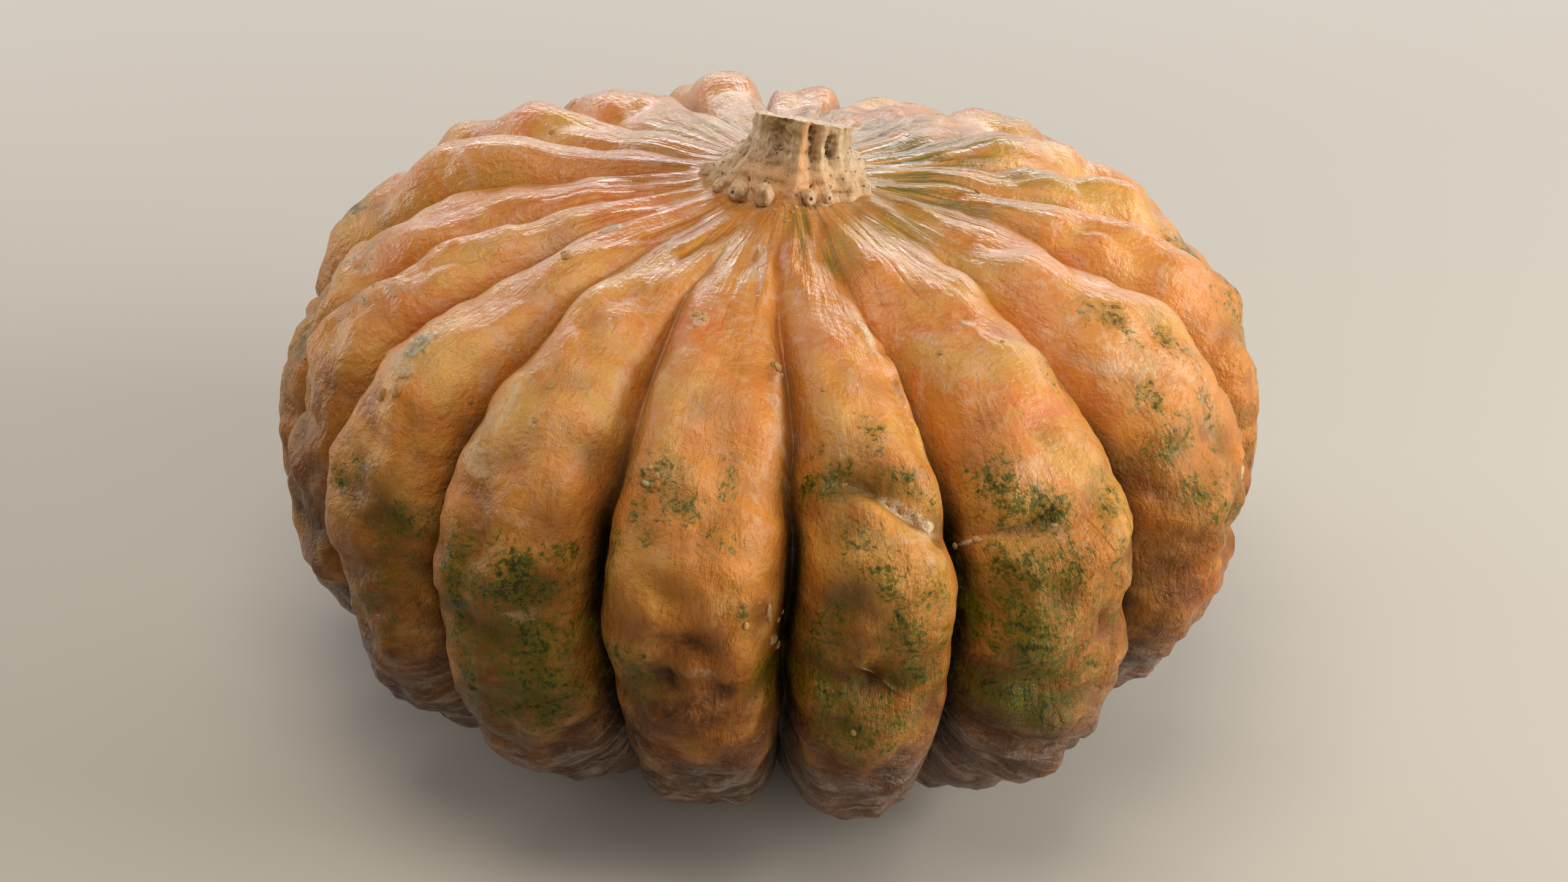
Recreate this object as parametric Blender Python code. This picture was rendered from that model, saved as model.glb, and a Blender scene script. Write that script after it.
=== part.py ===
"""A picked, deeply ribbed pumpkin with its cut stem, resting on a small flat spot under the fruit.

Metres, +Z up. The origin is under the middle of the fruit, on the surface that it rests on.
Directions are in degrees round the fruit: 0 is the front (-Y), and they grow towards the right (+X).
"""

from math import atan2, cos, degrees, exp, hypot, pi, radians, sin

import bmesh
import bpy
from mathutils import Vector, noise

# The plain round form that the ribs stand on, measured at the crests of the ribs
CREST_RADIUS = 0.190
WIDEST_HEIGHT = 0.1105
SHOULDER_RISE = 0.1013
UNDERSIDE_DROP = 0.1120
SHOULDER_SQUARENESS = 2.66
UNDERSIDE_SQUARENESS = 2.46
NECK_RISE = 0.003
NECK_RADIUS = 0.045

# The ribs come together a little to the right of the middle, where the stem grew
STEM_OFFSET = 0.006
OFFSET_REACH = 0.130

# Uneven ribs put the middle of the fruit's box beside the stem's axis, and this brings it back
BOX_MIDDLE = Vector((0.0004, 0.0004, 0.0))

# The grooves between the ribs, each as deep as this where the fruit is widest
GROOVE_DEPTH = 0.017
RIB_ROUNDNESS = 2.7

# Each groove: its direction, then how far it swings aside on the shoulder and on the underside, in degrees.
# After it, how far the rib on its right swells on the shoulder, the side and the underside, in millimetres.
GROOVES_AND_RIBS = [
    (-177.0, 0, 0, 3, 0, 0),
    (-160.0, 0, 0, 0, 0, 0),
    (-137.0, 0, 0, 5, 0, 0),
    (-116.0, 0, 0, 7, 0, 0),
    (-97.0, 0, 0, -1, -3, -1),
    (-77.0, 2, 1, 0, -3, -5),
    (-60.5, 1, 2, 0, 0, 0),
    (-41.0, 0, 1.5, 0, 0, -1),
    (-19.2, -1, 2, 0, 0, -3),
    (3.2, -4, 0, 0, 0, 0),
    (23.3, -6, 1, 0, 0, 5),
    (48.3, 4, 2, 0, 1, -6),
    (75.5, 3, -1, 0, 1, 0),
    (93.0, 0, 0, 1, -1, 0),
    (108.0, 0, 0, 2, 0, 0),
    (128.0, 0, 0, -1, 0, 0),
    (150.0, 0, 0, -8, 0, 0),
    (168.0, 0, 0, -8, 0, 0),
]

# Where the rib swellings sit on the way from the stem (0) to the middle of the underside (1)
SHOULDER_WAY, SIDE_WAY, UNDERSIDE_WAY = 0.24, 0.46, 0.68
SWELLING_REACH = 0.12

# Folds and dents (minus) and bumps (plus) that belong to single ribs: direction, way down from the stem,
# half length, half width, turn of the length from level (degrees, falling to the right), height
FOLDS_AND_BUMPS = [
    (15.5, 0.365, 0.024, 0.006, 40, -0.0060),
    (11.0, 0.330, 0.020, 0.015, 30, 0.0030),
    (14.0, 0.415, 0.024, 0.015, 25, 0.0035),
    (12.0, 0.495, 0.028, 0.014, 35, -0.0045),
    (30.0, 0.400, 0.022, 0.007, 5, -0.0045),
    (32.0, 0.525, 0.020, 0.008, 5, -0.0030),
    (35.0, 0.460, 0.020, 0.020, 0, 0.0030),
    (53.0, 0.400, 0.012, 0.020, 90, -0.0030),
    (58.0, 0.470, 0.016, 0.016, 0, 0.0030),
    (-8.0, 0.470, 0.014, 0.012, 60, -0.0035),
    (-25.5, 0.460, 0.040, 0.007, 90, -0.0030),
    (-33.0, 0.470, 0.040, 0.007, 90, -0.0025),
    (-18.5, 0.205, 0.020, 0.010, 75, 0.0040),
    (-52.0, 0.310, 0.022, 0.018, 0, 0.0030),
    (1.0, 0.095, 0.030, 0.009, 90, 0.0040),
    (17.0, 0.110, 0.024, 0.007, 90, -0.0035),
]

# Soft lumps all over the rind: the size of one lump and how far it stands out or in
LUMPS = [(0.042, 0.0055), (0.021, 0.0016)]
LUMP_SEED = Vector((3.1, 7.7, 1.9))

# Stem: its outline from the sunk foot up to the cut, as height over the fruit's top and radius
STEM_OUTLINE = [
    (-0.0090, 0.0268),
    (-0.0040, 0.0268),
    (0.0000, 0.0254),
    (0.0030, 0.0226),
    (0.0062, 0.0198),
    (0.0100, 0.0180),
    (0.0145, 0.0171),
    (0.0193, 0.0168),
]
STEM_LEAN = 0.0045

# The oblique cut: its fall per metre towards the back and towards the right, and its hollow middle
CUT_FALL_BACK = 0.38
CUT_FALL_RIGHT = 0.15
CUT_HOLLOW = 0.0016

# The stem's ridges: direction, half width in degrees, and how far each stands out at the foot and at the cut
STEM_RIDGES = [
    (-150, 14, 0.0045, 0.0014),
    (-114, 11, 0.0050, 0.0014),
    (-86, 10, 0.0062, 0.0012),
    (-60, 9, 0.0052, 0.0012),
    (-40, 8, 0.0036, 0.0000),
    (-19, 8, 0.0022, 0.0000),
    (0, 9, 0.0046, 0.0022),
    (26, 8, 0.0030, 0.0014),
    (50, 9, 0.0038, 0.0014),
    (66, 8, 0.0060, 0.0008),
    (97, 11, 0.0010, 0.0018),
    (128, 14, 0.0030, 0.0014),
    (170, 14, 0.0045, 0.0014),
]

SEAT_GAP = 0.0003

# How finely the solids are divided
STEPS_PER_RIB = 8
RINGS = 36
STEM_STEPS = 72
STEM_CUTS = 11
MERIDIAN_STEPS = 600

RIND_COLOUR = (0.60, 0.26, 0.07, 1.0)
STEM_COLOUR = (0.48, 0.36, 0.22, 1.0)


def clear_scene():
    for obj in list(bpy.data.objects):
        bpy.data.objects.remove(obj, do_unlink=True)


def blend_in(value, start, end):
    """0 before start, 1 past end, and a smooth change between them."""
    share = min(max((value - start) / (end - start), 0.0), 1.0)
    return share * share * (3.0 - 2.0 * share)


def bell(value, middle, reach):
    return exp(-(((value - middle) / reach) ** 2))


def degrees_between(a, b):
    """The turn from b to a, from -180 to 180."""
    return (a - b + 180.0) % 360.0 - 180.0


def crest_line():
    """(radius, height, way) along a rib's crest, from the stem to the middle of the underside."""
    points = []
    way = 0.0
    for step in range(MERIDIAN_STEPS + 1):
        angle = pi * step / MERIDIAN_STEPS
        upper = angle < pi / 2
        power = 2.0 / (SHOULDER_SQUARENESS if upper else UNDERSIDE_SQUARENESS)
        radius = CREST_RADIUS * abs(sin(angle)) ** power
        rise = abs(cos(angle)) ** power
        height = WIDEST_HEIGHT + (SHOULDER_RISE if upper else -UNDERSIDE_DROP) * rise
        if upper:
            height += NECK_RISE * bell(radius, 0.0, NECK_RADIUS)
        # The fruit is pressed flat where it rests
        height = max(height, 0.0)
        if points:
            way += ((radius - points[-1][0]) ** 2 + (height - points[-1][1]) ** 2) ** 0.5
        points.append((radius, height, way))
    return [(radius, height, length / way) for radius, height, length in points], way


CREST_LINE, CREST_LENGTH = crest_line()


def crest_point(way):
    """Radius and height of the crest line at a share of its length."""
    low, high = 0, len(CREST_LINE) - 1
    while high - low > 1:
        middle = (low + high) // 2
        if CREST_LINE[middle][2] <= way:
            low = middle
        else:
            high = middle
    before, after = CREST_LINE[low], CREST_LINE[high]
    span = after[2] - before[2]
    share = (way - before[2]) / span if span > 0.0 else 0.0
    share = min(max(share, 0.0), 1.0)
    return (
        before[0] + (after[0] - before[0]) * share,
        before[1] + (after[1] - before[1]) * share,
    )


def crest_outward(way):
    """The outward direction (radial, up) of the crest line."""
    step = 0.004
    radius_a, height_a = crest_point(way - step)
    radius_b, height_b = crest_point(way + step)
    along = Vector((radius_b - radius_a, height_b - height_a)).normalized()
    return -along.y, along.x


def groove_direction(groove, way):
    direction, on_shoulder, on_underside = groove[:3]
    return (
        direction
        + on_shoulder * (1.0 - blend_in(way, 0.12, 0.26))
        + on_underside * blend_in(way, 0.45, 0.70)
    )


def rib_swelling(rib, way):
    shoulder, side, underside = rib[3:]
    return 0.001 * (
        shoulder * bell(way, SHOULDER_WAY, SWELLING_REACH)
        + side * bell(way, SIDE_WAY, SWELLING_REACH)
        + underside * bell(way, UNDERSIDE_WAY, SWELLING_REACH)
    )


def groove_strength(way):
    """The grooves start at the stem, are deepest round the side and run out before the flat spot."""
    return blend_in(way, 0.03, 0.40) * (1.0 - blend_in(way, 0.60, 0.93))


def fold_height(direction, way, radius):
    """How far the folds and bumps near this place lift the rind."""
    total = 0.0
    for at, at_way, half_length, half_width, turn, height in FOLDS_AND_BUMPS:
        across = radians(degrees_between(direction, at)) * radius
        down = (way - at_way) * CREST_LENGTH
        along = across * cos(radians(turn)) + down * sin(radians(turn))
        beside = down * cos(radians(turn)) - across * sin(radians(turn))
        total += height * exp(-((along / half_length) ** 2) - (beside / half_width) ** 2)
    return total


def lump_height(point):
    return sum(
        height * noise.noise(point / size + LUMP_SEED * (index + 1))
        for index, (size, height) in enumerate(LUMPS)
    )


def rind_point(rib_index, share, way):
    """A point of the rind: share is -1 to 1 across a rib, way is 0 at the stem and 1 under the fruit."""
    rib = GROOVES_AND_RIBS[rib_index]
    following = GROOVES_AND_RIBS[(rib_index + 1) % len(GROOVES_AND_RIBS)]
    left = groove_direction(rib, way)
    right = groove_direction(following, way)
    if right < left:
        right += 360.0
    direction = left + (right - left) * (share + 1.0) / 2.0
    radius, height = crest_point(way)
    out, up = crest_outward(way)
    turned = radians(direction)
    plain = Vector((radius * sin(turned), -radius * cos(turned), height))
    # Lumps and folds fade out at the stem and at the flat spot
    free = blend_in(way, 0.05, 0.16) * (1.0 - blend_in(way, 0.80, 0.93))
    lift = rib_swelling(rib, way) * (1.0 - share * share)
    lift -= GROOVE_DEPTH * groove_strength(way) * abs(share) ** RIB_ROUNDNESS
    lift += free * (lump_height(plain) + fold_height(direction, way, radius))
    radius += out * lift
    height = max(height + up * lift, 0.0)
    aside = STEM_OFFSET * (1.0 - blend_in(radius, 0.0, OFFSET_REACH)) if way < 0.5 else 0.0
    return Vector((radius * sin(turned) + aside, -radius * cos(turned), height))


def share_across(step):
    """Steps across a rib, closer together towards its grooves."""
    even = 2.0 * step / STEPS_PER_RIB - 1.0
    return 0.5 * even + 0.5 * sin(even * pi / 2)


def make_object(name, bm, colour, roughness, collection):
    mesh = bpy.data.meshes.new(name)
    bm.to_mesh(mesh)
    bm.free()
    mesh.shade_smooth()
    obj = bpy.data.objects.new(name, mesh)
    collection.objects.link(obj)
    material = bpy.data.materials.new(name)
    material.use_nodes = True
    surface = material.node_tree.nodes["Principled BSDF"]
    surface.inputs["Base Color"].default_value = colour
    surface.inputs["Roughness"].default_value = roughness
    surface.inputs["Metallic"].default_value = 0.0
    mesh.materials.append(material)
    return obj


def make_fruit(collection):
    """A sphere of rings and meridians, with each vertex moved onto the ribbed rind."""
    meridians = STEPS_PER_RIB * len(GROOVES_AND_RIBS)
    bm = bmesh.new()
    bmesh.ops.create_uvsphere(bm, u_segments=meridians, v_segments=RINGS, radius=1.0)
    for vertex in bm.verts:
        x, y, z = vertex.co
        way = round(atan2(hypot(x, y), z) / pi * RINGS) / RINGS
        meridian = round(degrees(atan2(x, -y)) / 360.0 * meridians) % meridians
        rib_index, step = divmod(meridian, STEPS_PER_RIB)
        vertex.co = rind_point(rib_index, share_across(step), way) - BOX_MIDDLE
    bmesh.ops.recalc_face_normals(bm, faces=bm.faces)
    return make_object("fruit", bm, RIND_COLOUR, 0.45, collection)


def stem_radius(height):
    """The stem's mean radius, read smoothly from its outline."""
    for (low, low_radius), (high, high_radius) in zip(STEM_OUTLINE, STEM_OUTLINE[1:]):
        if height <= high:
            return low_radius + (high_radius - low_radius) * blend_in(height, low, high)
    return STEM_OUTLINE[-1][1]


def make_stem(name, collection, grow=0.0):
    """A cylinder in rings, drawn out to the stem's outline and ridges; grow makes it fatter and deeper."""
    bottom, top = STEM_OUTLINE[0][0], STEM_OUTLINE[-1][0]
    foot = crest_point(0.0)[1]
    bm = bmesh.new()
    bmesh.ops.create_cone(
        bm, cap_ends=True, cap_tris=True, segments=STEM_STEPS, radius1=1.0, radius2=1.0, depth=2.0
    )
    uprights = [edge for edge in bm.edges if abs(edge.verts[0].co.z - edge.verts[1].co.z) > 1.0]
    bmesh.ops.subdivide_edges(bm, edges=uprights, cuts=STEM_CUTS, use_grid_fill=False)
    for vertex in bm.verts:
        x, y, z = vertex.co
        share = (z + 1.0) / 2.0
        height = bottom + (top - bottom) * share
        turned = atan2(x, -y)
        radius = stem_radius(height) + grow
        for at, half_width, at_foot, at_cut in STEM_RIDGES:
            amount = at_foot + (at_cut - at_foot) * blend_in(share, 0.0, 0.75)
            radius += amount * bell(degrees_between(degrees(turned), at), 0.0, half_width)
        reach = min(hypot(x, y), 1.0)
        slant = blend_in(share, 0.25, 1.0)
        height -= slant * radius * (CUT_FALL_BACK * y + CUT_FALL_RIGHT * x)
        if share > 0.999 and reach < 0.5:
            height -= CUT_HOLLOW
        if share < 0.001:
            height -= grow
        radius *= reach
        aside = STEM_OFFSET + STEM_LEAN * share
        vertex.co = Vector((radius * sin(turned) + aside, -radius * cos(turned), foot + height)) - BOX_MIDDLE
    bmesh.ops.recalc_face_normals(bm, faces=bm.faces)
    return make_object(name, bm, STEM_COLOUR, 0.75, collection)


def cut_seat(fruit, cutters):
    """The seat that the stem's foot fills, a hair wider than the foot."""
    cutter = make_stem("stem_seat_cutter", cutters, grow=SEAT_GAP)
    cutter.hide_render = True
    cutter.display_type = "WIRE"
    seat = fruit.modifiers.new("stem seat", "BOOLEAN")
    seat.operation = "DIFFERENCE"
    seat.object = cutter


def new_collection(name):
    collection = bpy.data.collections.new(name)
    bpy.context.scene.collection.children.link(collection)
    return collection


def main():
    clear_scene()
    parts = new_collection("pumpkin")
    cutters = new_collection("cutters")
    cutters.hide_render = True
    fruit = make_fruit(parts)
    make_stem("stem", parts)
    cut_seat(fruit, cutters)


main()
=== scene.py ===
import random
from math import cos, pi, radians, sin

import bpy
import numpy as np
from mathutils import Matrix, Quaternion, Vector, noise


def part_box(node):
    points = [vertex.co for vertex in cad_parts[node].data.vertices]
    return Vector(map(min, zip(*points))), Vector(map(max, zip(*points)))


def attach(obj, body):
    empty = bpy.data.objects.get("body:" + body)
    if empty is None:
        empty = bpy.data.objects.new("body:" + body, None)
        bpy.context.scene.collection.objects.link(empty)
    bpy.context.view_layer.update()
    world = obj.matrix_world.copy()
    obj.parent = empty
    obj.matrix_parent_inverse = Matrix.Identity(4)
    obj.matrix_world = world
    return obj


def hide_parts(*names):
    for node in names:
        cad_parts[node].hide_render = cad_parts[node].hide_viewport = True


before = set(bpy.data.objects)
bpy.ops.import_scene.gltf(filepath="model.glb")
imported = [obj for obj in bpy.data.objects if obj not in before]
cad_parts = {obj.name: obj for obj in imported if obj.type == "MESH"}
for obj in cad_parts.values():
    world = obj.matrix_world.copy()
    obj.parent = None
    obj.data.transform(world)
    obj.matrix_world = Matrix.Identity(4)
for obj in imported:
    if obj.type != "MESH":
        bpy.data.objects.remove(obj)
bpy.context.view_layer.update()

print("frame loaded:", sorted(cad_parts))


# Small tools

def deselectAll():
    if bpy.context.object and bpy.context.object.mode != "OBJECT":
        bpy.ops.object.mode_set(mode="OBJECT")
    bpy.ops.object.select_all(action="DESELECT")


def named(name):
    obj = bpy.context.object
    obj.name = name
    obj.data.name = name
    return obj


def blendIn(value, start, end):
    share = np.clip((value - start) / (end - start), 0.0, 1.0)
    return share * share * (3.0 - 2.0 * share)


def bell(value, middle, reach):
    return np.exp(-(((value - middle) / reach) ** 2))


def turnBetween(a, b):
    return (a - b + 180.0) % 360.0 - 180.0


def grain(points, size, seed):
    # Soft noise from about -1 to 1 at each point; size is how wide one swelling is
    place = points / size + np.array([3.7, 1.9, 5.3]) * seed
    cell = np.floor(place).astype(np.int64)
    part = place - cell
    ease = part ** 3 * (part * (part * 6.0 - 15.0) + 10.0)
    total = np.zeros(len(place))
    for corner in [(x, y, z) for x in (0, 1) for y in (0, 1) for z in (0, 1)]:
        at = cell + corner
        code = (at[:, 0] * 73856093) ^ (at[:, 1] * 19349663) ^ (at[:, 2] * 83492791) ^ (seed * 40503)
        code = ((code ^ (code >> 13)) * 1274126177) & 0xFFFFFF
        slope = np.stack([(code >> shift & 255) / 127.5 - 1.0 for shift in (0, 8, 16)], -1)
        weight = np.prod(np.where(np.array(corner) == 1, ease, 1.0 - ease), axis=1)
        total += weight * np.sum(slope * (part - corner), axis=1)
    return 1.5 * total


def lumpy(points, size, seed):
    # Rounded swellings with creases between them, from about -1 to 1
    return 3.0 * np.abs(grain(points, size, seed)) - 0.8


def readPoints(mesh):
    points = np.empty(len(mesh.vertices) * 3)
    mesh.vertices.foreach_get("co", points)
    return points.reshape(-1, 3)


def writePoints(mesh, points):
    mesh.vertices.foreach_set("co", points.ravel())
    mesh.update()


def storeValues(mesh, name, values):
    # A value or a vector for each vertex, which the material reads by this name
    isVector = values.ndim == 2
    attribute = mesh.attributes.new(name, "FLOAT_VECTOR" if isVector else "FLOAT", "POINT")
    attribute.data.foreach_set("vector" if isVector else "value", values.astype(np.float32).ravel())


def copyOf(mesh, name):
    obj = bpy.data.objects.new(name, mesh)
    bpy.context.scene.collection.objects.link(obj)
    return obj


def joined(copies, name, material):
    # Joins the copies into one smooth piece
    deselectAll()
    for obj in copies:
        obj.select_set(True)
    bpy.context.view_layer.objects.active = copies[0]
    bpy.ops.object.join()
    whole = named(name)
    bpy.ops.object.shade_smooth()
    whole.data.materials.append(material)
    return whole


# Camera, at the photograph's viewing angle

cameraSetup = {
    "place": (0.0056, -0.8922, 0.6225),
    "aim": (0.0056, 0.0, 0.0959),
    "roll": 1.37,               # degrees, the right side up
    "lens": 60.0,
    "sensor": 36.0,
}


def addCamera():
    data = bpy.data.cameras.new("camera")
    data.lens = cameraSetup["lens"]
    data.sensor_width = cameraSetup["sensor"]
    data.clip_start = 0.01
    data.clip_end = 50.0
    camera = bpy.data.objects.new("camera", data)
    bpy.context.scene.collection.objects.link(camera)
    place, aim = Vector(cameraSetup["place"]), Vector(cameraSetup["aim"])
    camera.location = place
    camera.rotation_mode = "QUATERNION"
    roll = Quaternion((0, 0, 1), radians(cameraSetup["roll"]))
    camera.rotation_quaternion = (aim - place).to_track_quat("-Z", "Y") @ roll
    bpy.context.scene.camera = camera


addCamera()


# Materials, put together from a few node helpers

def hexColour(text):
    # A colour given as six hex digits, turned into Blender's linear values
    parts = [int(text[i:i + 2], 16) / 255 for i in (0, 2, 4)]
    return tuple(c / 12.92 if c <= 0.04045 else ((c + 0.055) / 1.055) ** 2.4 for c in parts) + (1.0,)


class Shader:
    # A new material, and short ways to add nodes to it. An amount may be a number or a node's output,
    # and a colour may be a name from the finish or a node's output

    def __init__(self, name, finish, ground):
        self.material = bpy.data.materials.new(name)
        self.material.use_nodes = True
        self.tree = self.material.node_tree
        self.look = {key: hexColour(value) for key, value in finish.items() if isinstance(value, str)}
        self.colour = self.look[ground]

    def put(self, kind, values=(), **settings):
        node = self.tree.nodes.new(kind)
        for key, value in settings.items():
            setattr(node, key, value)
        self.fill(node, values)
        return node

    def fill(self, node, values):
        for key, value in values:
            if isinstance(value, bpy.types.NodeSocket):
                self.tree.links.new(value, node.inputs[key])
            else:
                node.inputs[key].default_value = value

    def place(self):
        return self.put("ShaderNodeTexCoord").outputs["Object"]

    def attribute(self, name, output="Fac"):
        return self.put("ShaderNodeAttribute", attribute_name=name).outputs[output]

    def stretched(self, vector, scale):
        return self.put("ShaderNodeMapping", [("Vector", vector), ("Scale", scale)]).outputs[0]

    def noise(self, vector, scale, detail=3.0, rough=0.5, distort=0.0):
        values = [("Vector", vector), ("Scale", scale), ("Detail", detail), ("Roughness", rough)]
        return self.put("ShaderNodeTexNoise", values + [("Distortion", distort)]).outputs[0]

    def cells(self, vector, scale, feature):
        values = [("Vector", vector), ("Scale", scale)]
        return self.put("ShaderNodeTexVoronoi", values, feature=feature).outputs[0]

    def math(self, operation, a, b, clamp):
        return self.put("ShaderNodeMath", [(0, a), (1, b)], operation=operation, use_clamp=clamp).outputs[0]

    def times(self, a, b):
        return self.math("MULTIPLY", a, b, False)

    def plus(self, a, b, clamp=False):
        return self.math("ADD", a, b, clamp)

    def minus(self, a, b, clamp=False):
        return self.math("SUBTRACT", a, b, clamp)

    def swung(self, value, noise, middle, share):
        # The value, raised where the noise is over its middle and lowered where it is under
        return self.plus(value, self.times(self.minus(noise, middle), share))

    def fade(self, value, low, high):
        # 0 below low, 1 above high; low may be the larger, to turn it round
        values = [("Value", value), ("From Min", low), ("From Max", high)]
        return self.put("ShaderNodeMapRange", values, interpolation_type="SMOOTHSTEP").outputs[0]

    def mix(self, amount, a, b):
        return self.put("ShaderNodeMix", [(0, amount), (6, a), (7, b)], data_type="RGBA").outputs[2]

    def lay(self, colour, amount, share=None):
        # Lays a colour over what is there
        if share is not None:
            amount = self.times(amount, share)
        self.colour = self.mix(amount, self.colour, self.look[colour] if isinstance(colour, str) else colour)

    def finish(self, settings, reliefs=()):
        # Reliefs are (strength, distance, height) of bumps, one on another
        surface = self.tree.nodes["Principled BSDF"]
        self.fill(surface, [("Base Color", self.colour)] + settings)
        bump = None
        for strength, distance, height in reliefs:
            values = [("Strength", strength), ("Distance", distance), ("Height", height)]
            bump = self.put("ShaderNodeBump", values + ([("Normal", bump)] if bump else [])).outputs[0]
        if bump:
            self.fill(surface, [("Normal", bump), ("Coat Normal", bump)])
        return self.material


# Some colours here are painted light: the near-black groove colour is painted shade and the underside grey is a
# painted sheen
rindFinish = {
    "orange": "D68A38", "amber": "D8A04C", "redOrange": "CC642C", "peach": "DAA880", "pale": "DCBE96",
    "ochre": "A25E10", "brown": "3C1E03", "grooveShade": "100701", "yellowGreen": "7C6616", "green": "5C5A08",
    "darkGreen": "2C2A02", "cork": "EBD2AC", "corkDark": "9C7848", "olive": "62601A", "greyGreen": "8E8868",
    "undersideSheen": "A89788", "stemTan": "BC9A6C",
    "roughness": 0.32, "specular": 0.20, "coat": 0.80, "coatLow": 0.06, "coatRoughness": 0.11,
}


def makeRindMaterial():
    s = Shader("waxy rind", rindFinish, "orange")
    place = s.place()
    along = s.attribute("alongRib", "Vector")        # runs round the fruit in x and y, down the rib in z
    streaks = s.stretched(along, (1.0, 1.0, 0.25))
    bands = s.stretched(along, (0.42, 0.42, 1.15))   # drawn out round the fruit
    way, groove, dentShade, cork = [s.attribute(name) for name in ("way", "groove", "dentShade", "cork")]
    green, pale = s.attribute("green"), s.attribute("pale")

    # Warm orange ground: amber and red-orange clouds, and a broken cream bloom
    medium = s.noise(place, 70.0, 5.0, 0.62, 0.6)
    small = s.noise(place, 190.0, 5.0, 0.62, 0.4)
    tiny = s.noise(place, 620.0, 4.0, 0.6)
    streaky = s.noise(streaks, 150.0, 4.0, 0.6, 0.4)
    s.lay("amber", s.fade(s.noise(place, 26.0, 4.0, 0.6, 0.5), 0.44, 0.62))
    upper = s.fade(way, 0.48, 0.22)
    red = s.fade(s.noise(place, 48.0, 5.0, 0.66, 0.9), 0.50, 0.66)
    s.lay("redOrange", red, s.plus(s.times(upper, 0.36), 0.10))
    bloom = s.fade(s.noise(place, 62.0, 6.0, 0.70, 1.4), 0.50, 0.64)
    s.lay("peach", bloom, s.plus(s.times(upper, 0.50), 0.16))
    s.lay("ochre", s.fade(way, 0.25, 0.12), 0.26)
    s.lay("ochre", s.fade(small, 0.58, 0.72), 0.16)
    s.lay("pale", s.fade(streaky, 0.54, 0.76), 0.18)

    # Ochre low on the ribs, partly painted shade; painted brown shade low on the ribs, in dents and under the
    # fruit; painted near-black shade in the grooves over tan-grey cork; painted grey sheen streaks underneath
    s.lay("ochre", s.times(s.fade(way, 0.32, 0.50), s.fade(medium, 0.26, 0.60)), 0.90)
    lower = s.fade(s.noise(place, 40.0, 5.0, 0.65, 0.5), 0.34, 0.62)
    # Painted shade: brown low on the ribs, where less light reaches
    s.lay("brown", s.times(s.fade(way, 0.40, 0.56), lower), 0.66)
    # Painted shade in the dents
    s.lay("brown", s.times(dentShade, s.fade(way, 0.12, 0.50)), 0.74)
    # Painted shade from the shade patches, in folds, dents and low on shaded ribs
    s.lay("brown", s.attribute("brown"), s.plus(s.times(s.fade(small, 0.30, 0.62), 0.55), 0.40))
    s.lay("corkDark", s.times(s.fade(groove, 0.45, 0.85), s.fade(streaky, 0.36, 0.56)), 0.55)
    # Painted shade: near black deep in the grooves
    s.lay("grooveShade", s.times(s.fade(groove, 0.22, 0.72), s.fade(way, 0.27, 0.40)), 0.96)
    # Painted shade: brown under the fruit
    under = s.fade(way, 0.53, 0.62)
    s.lay("brown", under, 0.60)
    # Painted reflection: grey streaks of sheen on the underside
    s.lay("undersideSheen", s.times(under, s.fade(s.noise(bands, 150.0, 6.0, 0.70, 0.9), 0.44, 0.66)), 0.72)

    # Blush and pale patches with broken edges
    s.lay("redOrange", s.attribute("blush"), s.fade(small, 0.34, 0.62))
    paleEdge = s.fade(s.swung(pale, small, 0.5, 1.5), 0.25, 0.95)
    s.lay("pale", s.times(paleEdge, s.fade(pale, 0.03, 0.22)), 0.68)

    # Green mottling: a haze, and in it specks that close up in the middle of each patch
    bend = s.put("ShaderNodeTexNoise", [("Vector", place), ("Scale", 170.0), ("Detail", 4.0)]).outputs["Color"]
    bending = [(0, bend), (1, (0.010, 0.010, 0.010)), (2, place)]
    bent = s.put("ShaderNodeVectorMath", bending, operation="MULTIPLY_ADD").outputs[0]
    crackle = s.fade(s.cells(bent, 290.0, "DISTANCE_TO_EDGE"), 0.28, 0.0)
    inside = s.fade(green, 0.03, 0.22)
    amount = s.swung(green, s.noise(place, 110.0, 6.0, 0.70, 0.9), 0.5, 3.0)
    s.lay("yellowGreen", s.times(s.fade(amount, -0.15, 0.70), inside), 0.46)
    speckled = s.swung(amount, s.noise(place, 400.0, 6.0, 0.70, 0.6), 0.5, 4.2)
    speckled = s.swung(speckled, crackle, 0.35, 0.24)
    s.lay("green", s.times(s.fade(speckled, 0.52, 0.92), inside), 0.90)
    s.lay("darkGreen", s.times(s.fade(speckled, 0.98, 1.50), inside), 0.88)

    # Olive and tan tints round the stem, and corky scabs
    s.lay("stemTan", s.times(s.attribute("collar"), s.fade(medium, 0.40, 0.60)), 0.75)
    s.lay("olive", s.attribute("olive"), s.fade(streaky, 0.30, 0.62))
    crumbs = s.noise(place, 1100.0, 4.0, 0.7)
    corkColour = s.mix(s.fade(crumbs, 0.30, 0.52), s.look["corkDark"], s.look["cork"])
    s.lay(corkColour, s.fade(cork, 0.20, 0.70))
    s.lay("greyGreen", s.attribute("grey"), s.fade(crumbs, 0.20, 0.60))

    # Fine flecks, lighter and darker
    s.lay("pale", s.fade(tiny, 0.58, 0.76), 0.16)
    s.lay("brown", s.fade(tiny, 0.40, 0.24), 0.22)

    # Wax: shinier on the smooth shoulder, dull on cork
    rough = s.plus(s.times(small, 0.40), rindFinish["roughness"] - 0.20)
    rough = s.plus(rough, s.times(cork, 0.30), True)
    coat = s.times(s.fade(way, 0.46, 0.24), rindFinish["coat"] - rindFinish["coatLow"])
    coat = s.plus(coat, rindFinish["coatLow"])
    coat = s.plus(coat, s.times(s.fade(way, 0.54, 0.60), 0.40), True)

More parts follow.
